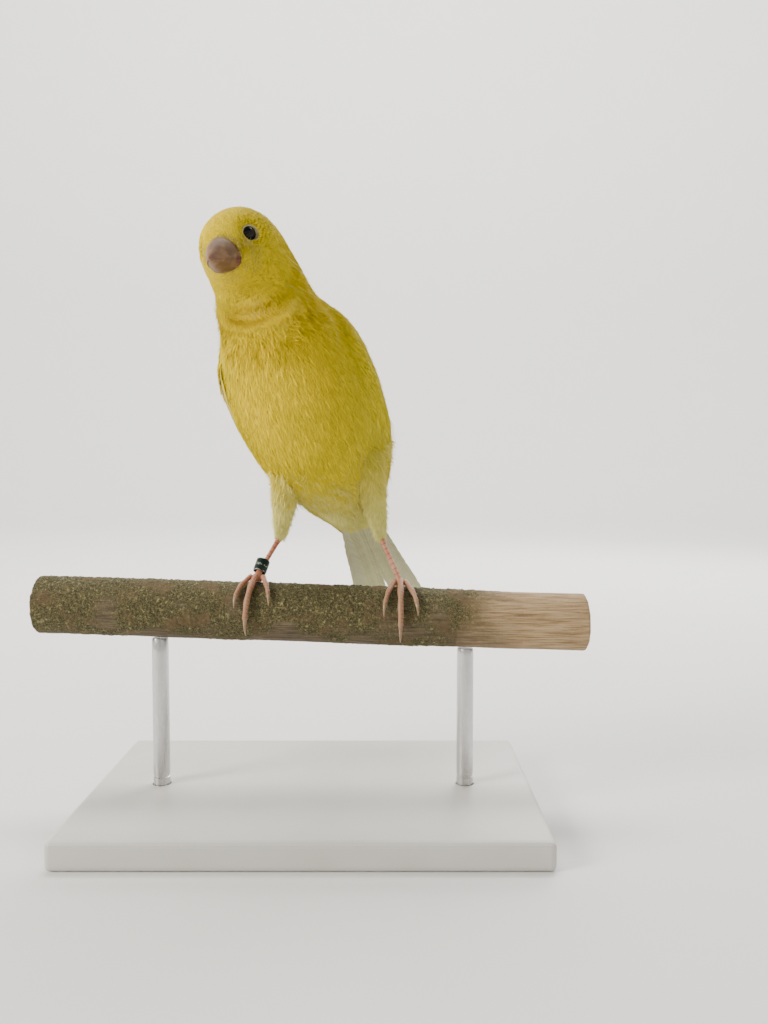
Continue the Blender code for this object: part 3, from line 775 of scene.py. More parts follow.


# The last colour is the vent's pale yellow, darkened a little towards olive with painted shade under the
# tail.
RICH, YELLOW, FROST, VENT_PALE_SHADED = (
    (0.76, 0.56, 0.0, 1), (0.60, 0.46, 0.0, 1), (0.58, 0.50, 0.02, 1), (0.68, 0.65, 0.22, 1)
)
cloud = noise(MARKINGS, place, 0.09, 3.0)
flecks = noise(MARKINGS, place, 0.42, 2.0)
crown = ball(MARKINGS, place, (-22, -28, 169), (10, 10, 7))
breast = ball(MARKINGS, place, (-8, -26, 126), (15, 14, 26))
throat = ball(MARKINGS, place, (-23, -32, 152), (9, 9, 9))
rich = worked(MARKINGS, "MAXIMUM", worked(MARKINGS, "MAXIMUM", crown, breast), throat)
rich = worked(MARKINGS, "MULTIPLY", rich, ranged(MARKINGS, cloud, 0.25, 0.6, 0.45, 1.0))
left, behind, height = add(MARKINGS, "SeparateXYZ", {0: place}).outputs
# Dusky lores beside the bill: partly dark skin between the bristles, partly painted shade.
lores_dusk_and_shade = [ball(MARKINGS, place, tuple(HEAD.at(8.4, -0.6, 5.6 * hand)), (2.8, 2.8, 2.4), 0.6)
         for hand in SIDES.values()]
flank = ranged(MARKINGS, left, 6.0, 24.0, 0.0, 0.75)
back = ranged(MARKINGS, behind, -2.0, 14.0, 0.0, 0.45)
low = worked(MARKINGS, "ADD", height, worked(MARKINGS, "MULTIPLY", flecks, 22.0))
vent = ranged(MARKINGS, low, 113.0, 92.0)
rump = ball(MARKINGS, place, (3, 18, 100), (14, 9, 14))
vent = worked(MARKINGS, "MULTIPLY", vent, ranged(MARKINGS, rump, 0.0, 1.0, 1.0, 0.25))
pale = worked(MARKINGS, "MAXIMUM", flank, back)
pale = worked(MARKINGS, "MULTIPLY", pale, ranged(MARKINGS, flecks, 0.3, 0.62, 0.45, 1.0))
colour = mixed(MARKINGS, rich, YELLOW, RICH)
colour = mixed(MARKINGS, pale, colour, FROST)
colour = mixed(MARKINGS, vent, colour, VENT_PALE_SHADED)
lores_dusk_and_shade = worked(MARKINGS, "MULTIPLY", worked(MARKINGS, "MAXIMUM", *lores_dusk_and_shade), 0.5)
colour = mixed(MARKINGS, lores_dusk_and_shade, colour, (0.20, 0.13, 0.01, 1))
# Painted shade: a browner yellow in the fold of the throat, where the head shades it.
throat_fold_shade = ball(MARKINGS, place, (-14, -27, 144), (14, 10, 5), 0.6)
colour = mixed(MARKINGS, worked(MARKINGS, "MULTIPLY", throat_fold_shade, 0.75), colour, (0.36, 0.24, 0.0, 1))
for socket, value in zip(leaving.inputs, (colour, worked(MARKINGS, "MAXIMUM", pale, vent))):
    MARKINGS.links.new(value, socket)


def lid_skin(tree, place):
    """One on the lids and the bare ring round each eye, nought beyond it."""
    masks = [ball(tree, place, tuple(middle + 2.4 * look), (2.3, 2.3, 2.3), 0.25)
             for middle, look, *_ in EYES.values()]
    return worked(tree, "MAXIMUM", *masks)


def plumage_skin():
    """Dull down in the markings' colours, darkened by painted shade where it shows between the feathers,
    and pale bare skin on the lids.
    """
    made, tree, shader = new_material("plumage_skin", 0.85)
    marks = placed_group(tree, MARKINGS)
    place = object_place(tree)
    down = noise(tree, place, 2.2, 3.0)
    # Painted shade: the down is darkened, as the skin between the feathers lies in their shade.
    colour = mixed(tree, 0.45, marks["Colour"], (0.62, 0.50, 0.20, 1), "MULTIPLY")
    colour = mixed(tree, lid_skin(tree, place), colour, (0.40, 0.37, 0.22, 1))
    finish_shader(tree, shader, base_color=colour, normal=raised(tree, down, 0.25, 0.8))
    return made


def leg_skin():
    """Mottled pink skin, browner towards the toes and dark red in the grooves between its plates."""
    made, tree, shader = new_material(
        "leg_skin", 0.5, 0.0, {"Subsurface Weight": 0.15, "Subsurface Scale": 0.0006}
    )
    groove = stored(tree, "groove")[0]
    coat = mottled(tree, 2.6, 0.22, 0.6, (0.42, 0.125, 0.065), (0.50, 0.25, 0.15))
    height = add(tree, "SeparateXYZ", {0: object_place(tree)}).outputs[2]
    low = ranged(tree, height, 76.0, 66.0)
    colour = mixed(tree, worked(tree, "MULTIPLY", low, 0.85), coat["Colour"], (0.29, 0.165, 0.09, 1))
    colour = mixed(tree, ranged(tree, groove, 0.0, 0.8), colour, (0.15, 0.04, 0.018, 1))
    finish_shader(tree, shader, base_color=colour,
                  roughness=ranged(tree, coat["Grain"], 0.3, 0.7, 0.42, 0.6),
                  normal=raised(tree, coat["Grain"], 0.05, 0.6))
    return made


skin_materials = (plumage_skin(), leg_skin())
parts = [tube_mesh("body_skin", skin_rings(body_surface, 0.0, TAIL_PLACE, 250, 132))]
for side in SIDES:
    parts.append(tube_mesh(f"{side}_thigh_skin", skin_rings(thigh_surface(side), 0.0, 1.0, 70, 44)))
    for rings, groove in leg_parts(side):
        part = tube_mesh(f"{side}_leg_skin", rings)
        point_vector(part, "groove", np.append(groove.ravel(), [0, 0]))
        part.polygons.foreach_set("material_index", np.ones(len(part.polygons), np.int32))
        parts.append(part)
hollow = united("hollow", parts, [eye_pit(side) for side in SIDES], skin_materials)
skin = put_in_scene("skin", united("skin", [hollow, *(lid(side) for side in SIDES)], [], skin_materials))
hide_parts("head", "neck", "trunk")
for side in SIDES:
    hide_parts(f"{side}_thigh", f"{side}_tarsus", *(f"{side}_{t[0]}" for t in TOES[side]))

# Eyes.
# Each eyeball is a wet dark globe, so dark a brown that it looks black, with a clear cornea that bulges a
# little through the lids. It is a turned shape whose profile is a circle plus a low bell.
CORNEA_BULGE, CORNEA_SPREAD = 0.22, 0.6  # in millimetres, and in radians from the eye's axis


def eye_mesh(side):
    """A circle with a low bell over the pupil for the cornea, turned round the eye's axis."""
    tilt = np.linspace(0.02, math.pi - 0.02, 60)
    radius = EYE_RADIUS - 0.05 + CORNEA_BULGE * np.exp(-((tilt / CORNEA_SPREAD) ** 2))
    return turned_on_eye(f"{side}_eyeball", side, radius * np.cos(tilt), radius * np.sin(tilt), 72)


def eye_material():
    """A brown that is nearly black, faintly veined, under a wet gloss."""
    made, tree, shader = new_material("wet_eye", 0.05, 0.0, {"IOR": 1.34})
    veins = noise(tree, object_place(tree), 3.0, 4.0)
    colour = mixed(tree, ranged(tree, veins, 0.4, 0.7), (0.002, 0.0015, 0.0015, 1),
                   (0.007, 0.004, 0.003, 1))
    finish_shader(tree, shader, base_color=colour, roughness=ranged(tree, veins, 0.3, 0.7, 0.03, 0.08))
    return made


EYE_FINISH = eye_material()
for side in SIDES:
    eye = wear(put_in_scene(f"{side}_eyeball", eye_mesh(side)), EYE_FINISH)
    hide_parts(f"{side}_eye")

# Bill.
# Two short cones of pinkish horn, the upper one much deeper and with a ridge along its top. They shut on a
# low, nearly straight line, the upper edge a little over the lower. Near its base the upper one holds two
# nostrils.
BILL_LENGTH = 9.8
BILL_HALF_WIDTH = 4.5
BILL_BASE = 10.9
BILL_HEIGHT, BILL_DEPTH = 6.1, 1.8  # over and under the mouth line
MOUTH_LEVEL = -4.1
NOSTRIL_TURNS = (1.02, 2.12)
NOSTRIL_SHARE = 0.10
LOWER_SHORTER, LOWER_NARROWER = 0.9, 0.96  # in millimetres, and as a share of the upper one's width


def bill_rings(upper):
    """Sections carried along the bill. Their width and height fall off by powers of the share of its
    length. Both halves share one oval, cut by the mouth line, and the lower half is drawn in a little. A
    ridge, nostrils and growth lines are added as bells and sines of the same two parameters."""
    share = np.clip(1 - np.linspace(1, 0, 70) ** 1.5, 0, 0.992)[:, None]
    length = BILL_LENGTH if upper else BILL_LENGTH - LOWER_SHORTER
    level = MOUTH_LEVEL + 0.2 * share**1.4 - 0.35 * np.exp(-share / 0.09)
    wide = BILL_HALF_WIDTH * (1.0 if upper else LOWER_NARROWER) * (1 - share**1.35) ** 0.85
    tall = BILL_HEIGHT * (1 - share**1.7) ** 0.9 + 0.2
    deep = BILL_DEPTH * (1 - share**1.6) ** 0.9 + 0.25
    rim = 0.07 if upper else 0.0
    turn = -rim + np.linspace(0, 1, 52)[None, :] * (math.pi + 2 * rim)
    turn = turn if upper else -turn
    growth = 0.018 * np.sin(share * 62 + 1.5 * np.sin(turn * 2)) + 0.014 * np.sin(share * 23 + turn * 5)
    ridge = 0.16 * np.exp(-(((turn - math.pi / 2) / 0.16) ** 2)) * (1 - share)
    nostril = sum(np.exp(-(((turn - at) / 0.13) ** 2) - (((share - NOSTRIL_SHARE) / 0.04) ** 2))
                  for at in NOSTRIL_TURNS)
    swell = 1 + (growth + ridge - 0.12 * nostril) / 3.5
    out = wide * np.sign(np.cos(turn)) * np.abs(np.cos(turn)) ** 0.85 * swell
    lift = level - (0 if upper else 0.03) + np.where(np.sin(turn) > 0, tall, deep) * np.sin(turn) * swell
    arc = HEAD.at(BILL_BASE + length * share + 0 * turn, lift, out)
    inner = np.linspace(0, 1, 16)[None, 1:-1]
    start, end = out[:, -1:], out[:, :1]
    floor = lift[:, -1:] + (lift[:, :1] - lift[:, -1:]) * inner
    floor += 0.25 * np.sin(math.pi * inner) * (1 - share)
    flat = HEAD.at(BILL_BASE + length * share + 0 * inner, floor, start + (end - start) * inner)
    return np.concatenate([arc, flat], axis=1)


def bill_horn():
    """Mottled brown horn, pinker at its tip, and dark red at the corners of the mouth, partly the gape's
    own flesh and partly painted shade where the mandibles meet.
    """
    made, tree, shader = new_material(
        "bill_horn", 0.4, 0.0,
        {"Specular IOR Level": 0.3, "Subsurface Weight": 0.1, "Subsurface Scale": 0.0005},
    )
    coat = mottled(tree, 3.0, 0.25, 0.8, (0.125, 0.062, 0.024), (0.27, 0.155, 0.07))
    place = object_place(tree)
    tip = tuple(HEAD.at(BILL_BASE + BILL_LENGTH, -3.6))
    near_tip = ball(tree, place, tip, (3.2, 3.2, 3.2), 0.6)
    colour = mixed(tree, worked(tree, "MULTIPLY", near_tip, 0.55), coat["Colour"], (0.26, 0.145, 0.095, 1))
    # The corners of the mouth: the gape's red flesh, darkened with painted shade where the mandibles meet.
    gape_flesh_and_shade = [ball(tree, place, tuple(HEAD.at(BILL_BASE + 0.4, -4.8, 3.6 * hand)), (1.9, 1.9, 1.2), 0.5)
            for hand in SIDES.values()]
    colour = mixed(tree, worked(tree, "MULTIPLY", worked(tree, "MAXIMUM", *gape_flesh_and_shade), 0.7), colour,
                   (0.11, 0.022, 0.014, 1))
    finish_shader(tree, shader, base_color=colour,
                  roughness=ranged(tree, coat["Grain"], 0.3, 0.7, 0.46, 0.6),
                  normal=raised(tree, coat["Grain"], 0.05, 0.6))
    return made


HORN = bill_horn()
for name, upper in (("upper_bill", True), ("lower_bill", False)):
    half = wear(put_in_scene(f"{name}_horn", tube_mesh(f"{name}_horn", bill_rings(upper), sharp=50)), HORN)
    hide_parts(name)

# Claws.
# Thin curved horn of a brownish pink, a little see-through, and browner towards the point. Each grows out
# of its toe's last plate and follows the branch round, its point just clear of the bark.
CLAW_RADIUS, CLAW_POINT = 0.47, 0.04
CLAW_INSIDE, CLAW_BEYOND = 0.25, 0.6  # how far it starts inside its toe, and runs past its length
CLAW_DARK_LEVELS = (57.0, 50.0)  # heights between which it turns browner


def claw_rings(side, sizes):
    """Rings along a curve that leaves the toe and follows the branch. Their radius falls off by a power of
    the share of the length, and a high power of a sine makes them deeper along the back and underside."""
    *_, length, claw = sizes
    share = np.linspace(0, 1, 40)
    radius = CLAW_RADIUS * (1 - share) ** 0.85 + CLAW_POINT
    lift = 0.7 + 0.4 * np.sin(math.pi * share) - 0.33 * share
    path = toe_path(side, *sizes, length - CLAW_INSIDE + (claw + CLAW_BEYOND) * share, lift)
    across, rise = frames_along(path, TOE_UP)
    turn = full_turn(24)
    deep = 1 + 0.25 * np.sin(turn) ** 8
    return (path[:, None] + (0.8 * radius[:, None] * np.cos(turn))[..., None] * across[:, None]
            + (radius[:, None] * np.sin(turn) * deep)[..., None] * rise[:, None])


def claw_horn():
    """Mottled pinkish horn, browner where the claws reach round the branch."""
    made, tree, shader = new_material(
        "claw_horn", 0.35, 0.0, {"Subsurface Weight": 0.2, "Subsurface Scale": 0.0005}
    )
    coat = mottled(tree, 1.2, 0.15, 0.6, (0.23, 0.14, 0.075), (0.34, 0.23, 0.135))
    height = add(tree, "SeparateXYZ", {0: object_place(tree)}).outputs[2]
    darker = ranged(tree, height, *CLAW_DARK_LEVELS, 0.0, 0.65)
    colour = mixed(tree, darker, coat["Colour"], (0.24, 0.15, 0.09, 1))
    finish_shader(tree, shader, base_color=colour, normal=raised(tree, coat["Grain"], 0.02, 0.5))
    return made


CLAW = claw_horn()
for side in SIDES:
    for sizes in TOES[side]:
        name = f"{side}_{sizes[0]}_claw"
        claw = wear(put_in_scene(f"{name}_horn", tube_mesh(f"{name}_horn", claw_rings(side, sizes))), CLAW)
        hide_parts(name)

# Leg ring.
# A closed band of anodised metal, slipped over the foot when the bird was a chick. It is dark green, with
# rolled edges worn to bare metal. Its small pale strokes are plain marks and spell nothing.
RING_RADII = (1.55, 2.05)
RING_HEIGHT = 4.0
RING_MIDDLE = (-15.55, 1.85, 74.0)
RING_AXIS = (0.3, 0.65, 1.0)
RING_EDGE_POWER = 0.3  # the lower, the squarer its section
RING_STROKES = 26.0


def leg_ring():
    """A rounded oblong section carried round the ring's axis, with its marks in the ring's own map."""
    axis = unit(np.array(RING_AXIS))
    across = unit(np.cross(axis, (0, 1, 0)))
    other = np.cross(axis, across)
    inner, outer = RING_RADII
    half, thick = RING_HEIGHT / 2, (outer - inner) / 2
    rounds, steps = 120, 40
    around = full_turn(steps)
    rise = half * np.sign(np.sin(around)) * np.abs(np.sin(around)) ** RING_EDGE_POWER
    out = (inner + outer) / 2 + thick * np.sign(np.cos(around)) * np.abs(np.cos(around)) ** RING_EDGE_POWER
    turn = full_turn(rounds)[:, None]
    points = (np.array(RING_MIDDLE) + (out * np.cos(turn))[..., None] * across
              + (out * np.sin(turn))[..., None] * other + (rise + 0 * turn)[..., None] * axis)
    mesh = band_mesh("closed_ring", points)
    point_vector(mesh, "ring", np.repeat(turn[:, 0] / (2 * math.pi), steps), np.tile(rise / half, rounds),
                 np.tile((out - inner) / (outer - inner), rounds))
    return mesh


def ring_metal():
    """Dark green metal, scratched and worn bare at its edges, with a row of short pale strokes."""
    made, tree, shader = new_material("anodised_ring", 0.36, 0.55)
    around, level, out = stored(tree, "ring")
    scratch = noise(tree, object_place(tree, (1, 1, 0.3)), 2.2, 4.0, 0.7)
    edge = ranged(tree, worked(tree, "ABSOLUTE", level), 0.86, 0.99)
    edge = worked(tree, "MULTIPLY", edge, ranged(tree, scratch, 0.4, 0.6))
    colour = mixed(tree, ranged(tree, scratch, 0.35, 0.75), (0.003, 0.012, 0.008, 1),
                   (0.007, 0.030, 0.019, 1))
    colour = mixed(tree, edge, colour, (0.52, 0.50, 0.45, 1))
    step = worked(tree, "FRACT", worked(tree, "MULTIPLY", around, RING_STROKES))
    stroke = worked(tree, "LESS_THAN", worked(tree, "ABSOLUTE", worked(tree, "SUBTRACT", step, 0.5)), 0.16)
    long = worked(tree, "LESS_THAN", worked(tree, "ABSOLUTE", level), 0.2)
    stroke = worked(tree, "MULTIPLY", worked(tree, "MULTIPLY", stroke, long),
                    worked(tree, "GREATER_THAN", out, 0.6))
    colour = mixed(tree, worked(tree, "MULTIPLY", stroke, ranged(tree, scratch, 0.5, 0.56, 0.0, 0.75)),
                   colour, (0.72, 0.72, 0.66, 1))
    finish_shader(tree, shader, base_color=colour, roughness=ranged(tree, scratch, 0.3, 0.7, 0.28, 0.5),
                  normal=raised(tree, scratch, 0.02, 0.4))
    return made


ring = wear(put_in_scene("closed_ring", leg_ring()), ring_metal())
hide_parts("leg_ring")

# Body feathers.
# Soft loose-barbed feathers overlap like tiles from the bill back to the tail. Each one here is a fan of
# thin tapered barbs over one broader vane, rooted in the skin and laid along the body. They are smallest
# round the bill and the eyes, longest on belly and flanks, and paler at their tips than at their roots.

# The folded wings' outline, from the bend back to the tip: how far forward in the trunk's frame, half
# width, half height, and the lower and upper edges in degrees round it
WING_SECTIONS = np.array([
    (22.0, 16.6, 13.4, 8.0, 30.0),
    (18.0, 18.4, 14.9, -8.0, 48.0),
    (9.0, 20.2, 16.8, -18.0, 66.0),
    (-3.0, 20.1, 17.0, -20.0, 77.0),
    (-15.0, 18.0, 15.6, -16.0, 82.0),
    (-27.0, 14.0, 12.9, -6.0, 83.0),
    (-38.0, 10.0, 10.6, 10.0, 82.0),
    (-48.0, 7.2, 9.2, 28.0, 79.0),
    (-57.0, 5.4, 8.6, 46.0, 72.0),
])
BARB_FACES = np.array([(0, 2, 3), (0, 3, 1), (4, 3, 2), (4, 1, 3), (0, 1, 2), (4, 2, 1)])
BARB_MIDDLE = 0.42  # where a barb is widest, as a share of its length
MIDDLE_BARB = 3.3  # how much wider the middle barb of a fan is than the others
PATCH = 0.003  # side of one tuft's patch on the bake map
MAP_EDGE, MAP_SPAN = 0.005, 0.98  # where the patches start on that map, and how much of it they cover
STEP = 0.03  # change of place or turn over which a surface's slope is taken
ROOT_STEPS = (0.7548776662, 0.5698402910)  # one over x and over x squared, where x cubed is x plus one
WHOLE = (0.0, 2 * math.pi)
LEFT_HALF = (-math.pi / 2, math.pi / 2)
RIGHT_HALF = (math.pi / 2, 3 * math.pi / 2)


def over_wing(points):
    """How many degrees round the trunk points lie inside a folded wing's outline, and how far behind its
    bend in millimetres. Both are below nought outside it."""
    away = points - TRUNK.middle
    forward, up, left = away @ TRUNK.forward, away @ TRUNK.up, np.abs(away @ TRUNK.left)
    order = WING_SECTIONS[::-1]
    width, height, low, high = (np.interp(forward, order[:, 0], order[:, k]) for k in (1, 2, 3, 4))
    turn = np.degrees(np.arctan2(up / height, left / width))
    return np.minimum(turn - low, high - turn), WING_SECTIONS[0, 0] - forward


# How far the coat stands off the body: over the wings' edges, and less there where the right wing is tucked
# in below; under the throat (place, width and height of each bell); and between the bill and the right eye,
# where it hides that eye from the front
WING_LIFT, TUCKED_LIFT = 2.5, 1.2
THROAT_FILLS = ((5.1, 0.8, 3.3), (4.3, 0.45, 1.5))
THROAT_TURN, THROAT_WIDTH = 1.6 * math.pi, 0.8
BROW = EYES["right"][0] + 3.1 * HEAD.forward + 0.3 * HEAD.up
BROW_LIFT, BROW_WIDTH = 1.1, 1.9


def bell(value, middle, width):
    """A bell curve: one at the middle, falling to nought a few widths from it."""
    return np.exp(-(((value - middle) / width) ** 2))


def coat_surface(place, turn, depth=0.0, share=0.0):
    """The body's surface as the coat drapes it: raised gently to the edges of the folded wings, and filled
    out by bell curves under the throat and before the right eye."""
    found = body_surface(place, turn, depth, share)
    inside, behind = over_wing(found)
    over = np.clip((inside + 15.0) / 16.0, 0, 1) * np.clip((behind + 10.0) / 14.0, 0, 1)
    away = found - TRUNK.middle
    tucked = (away @ TRUNK.left < 0) & (away @ TRUNK.up < 0)
    rise = np.where(tucked, TUCKED_LIFT, WING_LIFT) * over * over * (3 - 2 * over)
    under = bell(np.asarray(turn) % (2 * math.pi), THROAT_TURN, THROAT_WIDTH)
    for middle, width, height in THROAT_FILLS:
        rise += height * bell(np.asarray(place), middle, width) * under
    rise += BROW_LIFT * bell(np.linalg.norm(found - BROW, axis=-1), 0.0, BROW_WIDTH)
    outward = unit(away - (away @ TRUNK.forward)[..., None] * TRUNK.forward)
    return found + rise[..., None] * outward


def even_roots(surface, start, end, spacing, span=WHOLE):
    """Roots spread evenly over a stretch of a surface. Two additive sequences of irrational steps fill it
    with no clumps, and one of them is bent so that each ring gets its due by its size and spacing."""
    place = np.linspace(start, end, 120)[:, None]
    turn = np.linspace(*span, 73)[None, :]
    net = surface(place, turn)
    girth = np.linalg.norm(np.diff(net, axis=1), axis=2).sum(1)
    run = np.linalg.norm(np.gradient(net, place[:, 0], axis=0), axis=2).mean(1)
    need = girth * run / spacing(place[:, 0]) ** 2
    total = np.concatenate([[0], np.cumsum((need[1:] + need[:-1]) / 2 * np.diff(place[:, 0]))])
    k = np.arange(1, 1 + int(total[-1]))
    places = np.interp(k * ROOT_STEPS[0] % 1.0 * total[-1], total, place[:, 0])
    return places, span[0] + (k * ROOT_STEPS[1] % 1.0) * (span[1] - span[0])


def fans(surface, place, turn, length, rng, barbs=7, spread=0.34, width=0.11, tips=(0.0, 0.45),
         ruffle=0.1, fluff=0.0, least=0.0):
    """Fans of barbs as arrays: points, along and tone for each point. A barb's line runs from its root in
    the skin, over a raised middle, to its tip near the coat's surface. All three are read from the surface
    itself, so a barb bends with the body. Its section is a low triangle, widest in the middle. Where places
    lie close together, least (millimetres to one place) keeps a barb from running on too far."""
    ahead = (surface(place + STEP, turn, 0.0, 0.5) - surface(place - STEP, turn, 0.0, 0.5)) / (2 * STEP)
    aside = (surface(place, turn + STEP, 0.0, 0.5) - surface(place, turn - STEP, 0.0, 0.5)) / (2 * STEP)
    out = unit(np.cross(ahead, aside))
    grown = surface(place, turn, -0.5) - surface(place, turn)
    out *= np.sign((out * grown).sum(1, keepdims=True))
    per_place, per_turn = (np.linalg.norm(v, axis=1)[:, None] for v in (ahead, aside))
    per_place = np.maximum(per_place, least)
    count = len(place)
    fan = np.linspace(-1, 1, barbs)[None, :]
    chance = rng.normal(0, 1, (3, count, barbs))
    reach = length[:, None] * (1 - 0.25 * fan**2) * np.clip(1 + 0.13 * chance[0], 0.6, 1.4)
    ruffle, fluff, width = (np.broadcast_to(v, count)[:, None] for v in (ruffle, fluff, width))
    angle = spread * fan + ruffle * chance[1] + 1.2 * ruffle * rng.normal(0, 1, (count, 1))
    top = rng.uniform(*tips, (count, 1)) + 0.12 * chance[2]

    def spot(share, height, more=0.0):
        go = reach * share * np.cos(angle)
        across = 0.09 * length[:, None] * fan + reach * np.sin(angle) * share * (1.25 - 0.35 * share)
        return surface(place[:, None] + go / per_place, turn[:, None] + across / per_turn, more, height)

    root = spot(0.0, 1.0, 0.15)
    middle = spot(BARB_MIDDLE, 0.3 + 0.45 * top)
    tip = spot(1.0, top, -fluff * np.abs(chance[0]))
    flow = unit(tip - root)
    out = np.broadcast_to(out[:, None], flow.shape)
    left = unit(np.cross(out, flow))
    half = width * np.clip(1 + 0.25 * chance[1], 0.5, 1.7)
    half = np.where(np.abs(fan) < 0.01, MIDDLE_BARB * width, half)[..., None]
    sides = [middle + left * half, middle - left * half, middle + out * half * 0.45]
    points = np.stack([root, *sides, tip], 2)
    along = np.broadcast_to([0.0, BARB_MIDDLE, BARB_MIDDLE, BARB_MIDDLE, 1.0], points.shape[:3])
    tone = rng.uniform(0, 1, (count, 1)) * 0.7 + 0.3 * rng.uniform(0, 1, (count, barbs))
    return points, along, np.broadcast_to(tone[..., None], points.shape[:3])


def map_corner(place, turn, places, turns=WHOLE):
    """The corner of each root's patch: its place and turn on the unwrapped skin, as shares of a range."""
    return tuple(MAP_EDGE + MAP_SPAN * (value - low) / (high - low)
                 for value, (low, high) in ((place, places), (turn, turns)))


def coat_mesh(name, points, along, tone, corner, frost_and_shade):
    """One mesh of all barbs. Its bake map gives each fan a small patch at its root's place on the skin."""
    count, barbs = points.shape[:2]
    k = np.arange(count * barbs)[:, None, None] * 5
    mesh = mesh_from(name, points.reshape(-1, 3), [(BARB_FACES[None] + k).reshape(-1, 3)], smooth=False)
    point_vector(mesh, "barb", along.ravel(), tone.ravel(),
                 np.broadcast_to(frost_and_shade[:, None, None], along.shape).ravel())
    across = np.broadcast_to([0.5, 0.05, 0.95, 0.5, 0.5], along.shape)
    uv = np.stack([corner[0][:, None, None] + PATCH * across, corner[1][:, None, None] + PATCH * along], -1)
    bake_map(mesh, uv.reshape(-1, 2))
    return mesh


def bake_map(mesh, uv):
    """The map that a bake of this piece's colours uses, from one place for each point."""
    loops = np.empty(len(mesh.loops), np.int32)
    mesh.loops.foreach_get("vertex_index", loops)
    layer = mesh.uv_layers.new(name="OFBake")
    layer.uv.foreach_set("vector", uv[loops].astype(np.float32).ravel())


def plumage_coat(name, tip_colour, root_shade_colour):
    """The markings, deepened towards each barb's root, partly the feather's duller base and partly painted
    shade deep in the coat, and paled towards its tip, by the barb's own tone.
    """
    made, tree, shader = new_material(name, 0.6, 0.0, {"Specular IOR Level": 0.12})
    marks = placed_group(tree, MARKINGS)
    along, tone, frost_and_shade = stored(tree, "barb")
    # Towards the root the colour runs into a dark one: partly the feather's duller base, partly painted
    # shade inside the coat.
    root = mixed(tree, ranged(tree, along, 0.0, 0.5, 0.75, 0.0), marks["Colour"], root_shade_colour)
    shade = ranged(tree, tone, 0.0, 1.0, 0.82, 1.12)
    colour = add(tree, "VectorMath", {0: root, 3: shade}, operation="SCALE").outputs[0]
    at_tip = worked(tree, "MULTIPLY", ranged(tree, along, 0.45, 1.0),
                    ranged(tree, tone, 0.2, 1.0, 0.1, 0.5))
    at_tip = worked(tree, "MULTIPLY", at_tip, ranged(tree, marks["Pale"], 0.0, 1.0, 0.35, 1.0))
    at_tip = worked(tree, "ADD", at_tip, worked(tree, "MULTIPLY", frost_and_shade, 0.75))
    colour = mixed(tree, worked(tree, "MINIMUM", at_tip, 1.0), colour, tip_colour)
    finish_shader(tree, shader, base_color=colour, roughness=ranged(tree, tone, 0.0, 1.0, 0.5, 0.68))
    return made


COAT = plumage_coat("plumage_coat", (0.82, 0.67, 0.0, 1), (0.23, 0.145, 0.0, 1))
# At places along the body: the feathers' lengths, the space between them and their barbs' half widths
BODY_LENGTHS = (
    (0, 1, 2, 3, 4, 5, 6, 7, 8, 10, 11, 12),
    (0.9, 1.2, 1.6, 2.1, 2.5, 2.9, 3.4, 3.9, 4.4, 4.8, 5.2, 5.6),
)
BODY_SPACES = ((0, 1, 2, 3, 4, 6, 8, 10, 12), (0.36, 0.42, 0.50, 0.58, 0.64, 0.76, 0.86, 0.92, 0.95))
BODY_WIDTHS = ((0, 2.4, 4.5, 7.0, 9.0), (0.055, 0.07, 0.085, 0.095, 0.10))
# How far in under the wing's edge, in degrees, feathers still grow, at distances behind its bend
UNDER_WING = ((10, 40, 60), (11, 15, 18))
LEAST_RUN = 6.5  # millimetres to one place, see fans


def move_along(place, turn):
    """How far the coat's surface moves over two small steps of place."""
    return np.linalg.norm(coat_surface(place + STEP, turn) - coat_surface(place - STEP, turn), axis=-1)


def body_coat(name, start, end, span, seed, tips=(0.0, 0.45), fluff=0.0):
    """The feathers of one stretch. Roots are thinned where the bent neck crowds them, and left out under
    the wings and round the eyes. Bells lengthen and ruffle them under the throat and darken their tips
    there with painted shade under the head, and lengthen them between the thighs."""
    rng = np.random.default_rng(seed)
    place, turn = even_roots(coat_surface, start, end, lambda p: np.interp(p, *BODY_SPACES), span)
    root = coat_surface(place, turn)
    usual = move_along(place[:, None], full_turn(12)).mean(1)
    crowded = rng.uniform(0, 1, len(place)) > move_along(place, turn) / usual + 0.1
    inside, behind = over_wing(root)
    hidden = (inside > np.interp(behind, *UNDER_WING)) & (behind > 8.0)
    hidden |= (from_eye(root) < LID_RADIUS + 0.4) | crowded
    place, turn, root = place[~hidden], turn[~hidden], root[~hidden]
    gap = from_eye(root) - LID_RADIUS
    length = np.interp(place, *BODY_LENGTHS) * rng.uniform(0.85, 1.15, len(place))
    length *= 1 + 0.45 * bell(place, 9.9, 0.6)
    bib = bell(place, 4.9, 0.8) * np.clip(-np.sin(turn), 0, 1)
    crease = bell(place, 6.1, 0.8) * np.clip(0.3 - np.sin(turn), 0, 1)
    length *= (1 + 0.4 * bib) * (1 - 0.1 * crease)
    length = np.minimum(length, 0.25 + 0.45 * gap)
    points, along, tone = fans(
        coat_surface, place, turn, length, rng, barbs=9, width=np.interp(place, *BODY_WIDTHS), tips=tips,
        ruffle=0.11 + 0.12 * crease, fluff=fluff + 0.3 * crease + 0.2 * bib, least=LEAST_RUN,
    )
    corner = map_corner(place, turn, (start, end), span)
    # Paler tips round the eyes; under the throat the tips are darkened instead, as painted shade under the
    # head.
    frost_and_shade = 0.5 * np.clip(1.0 - (gap - 0.2) / 0.7, 0, 1) - 0.7 * bib - 0.4 * crease
    coat = wear(put_in_scene(name, coat_mesh(name, points, along, tone, corner, frost_and_shade)), COAT)


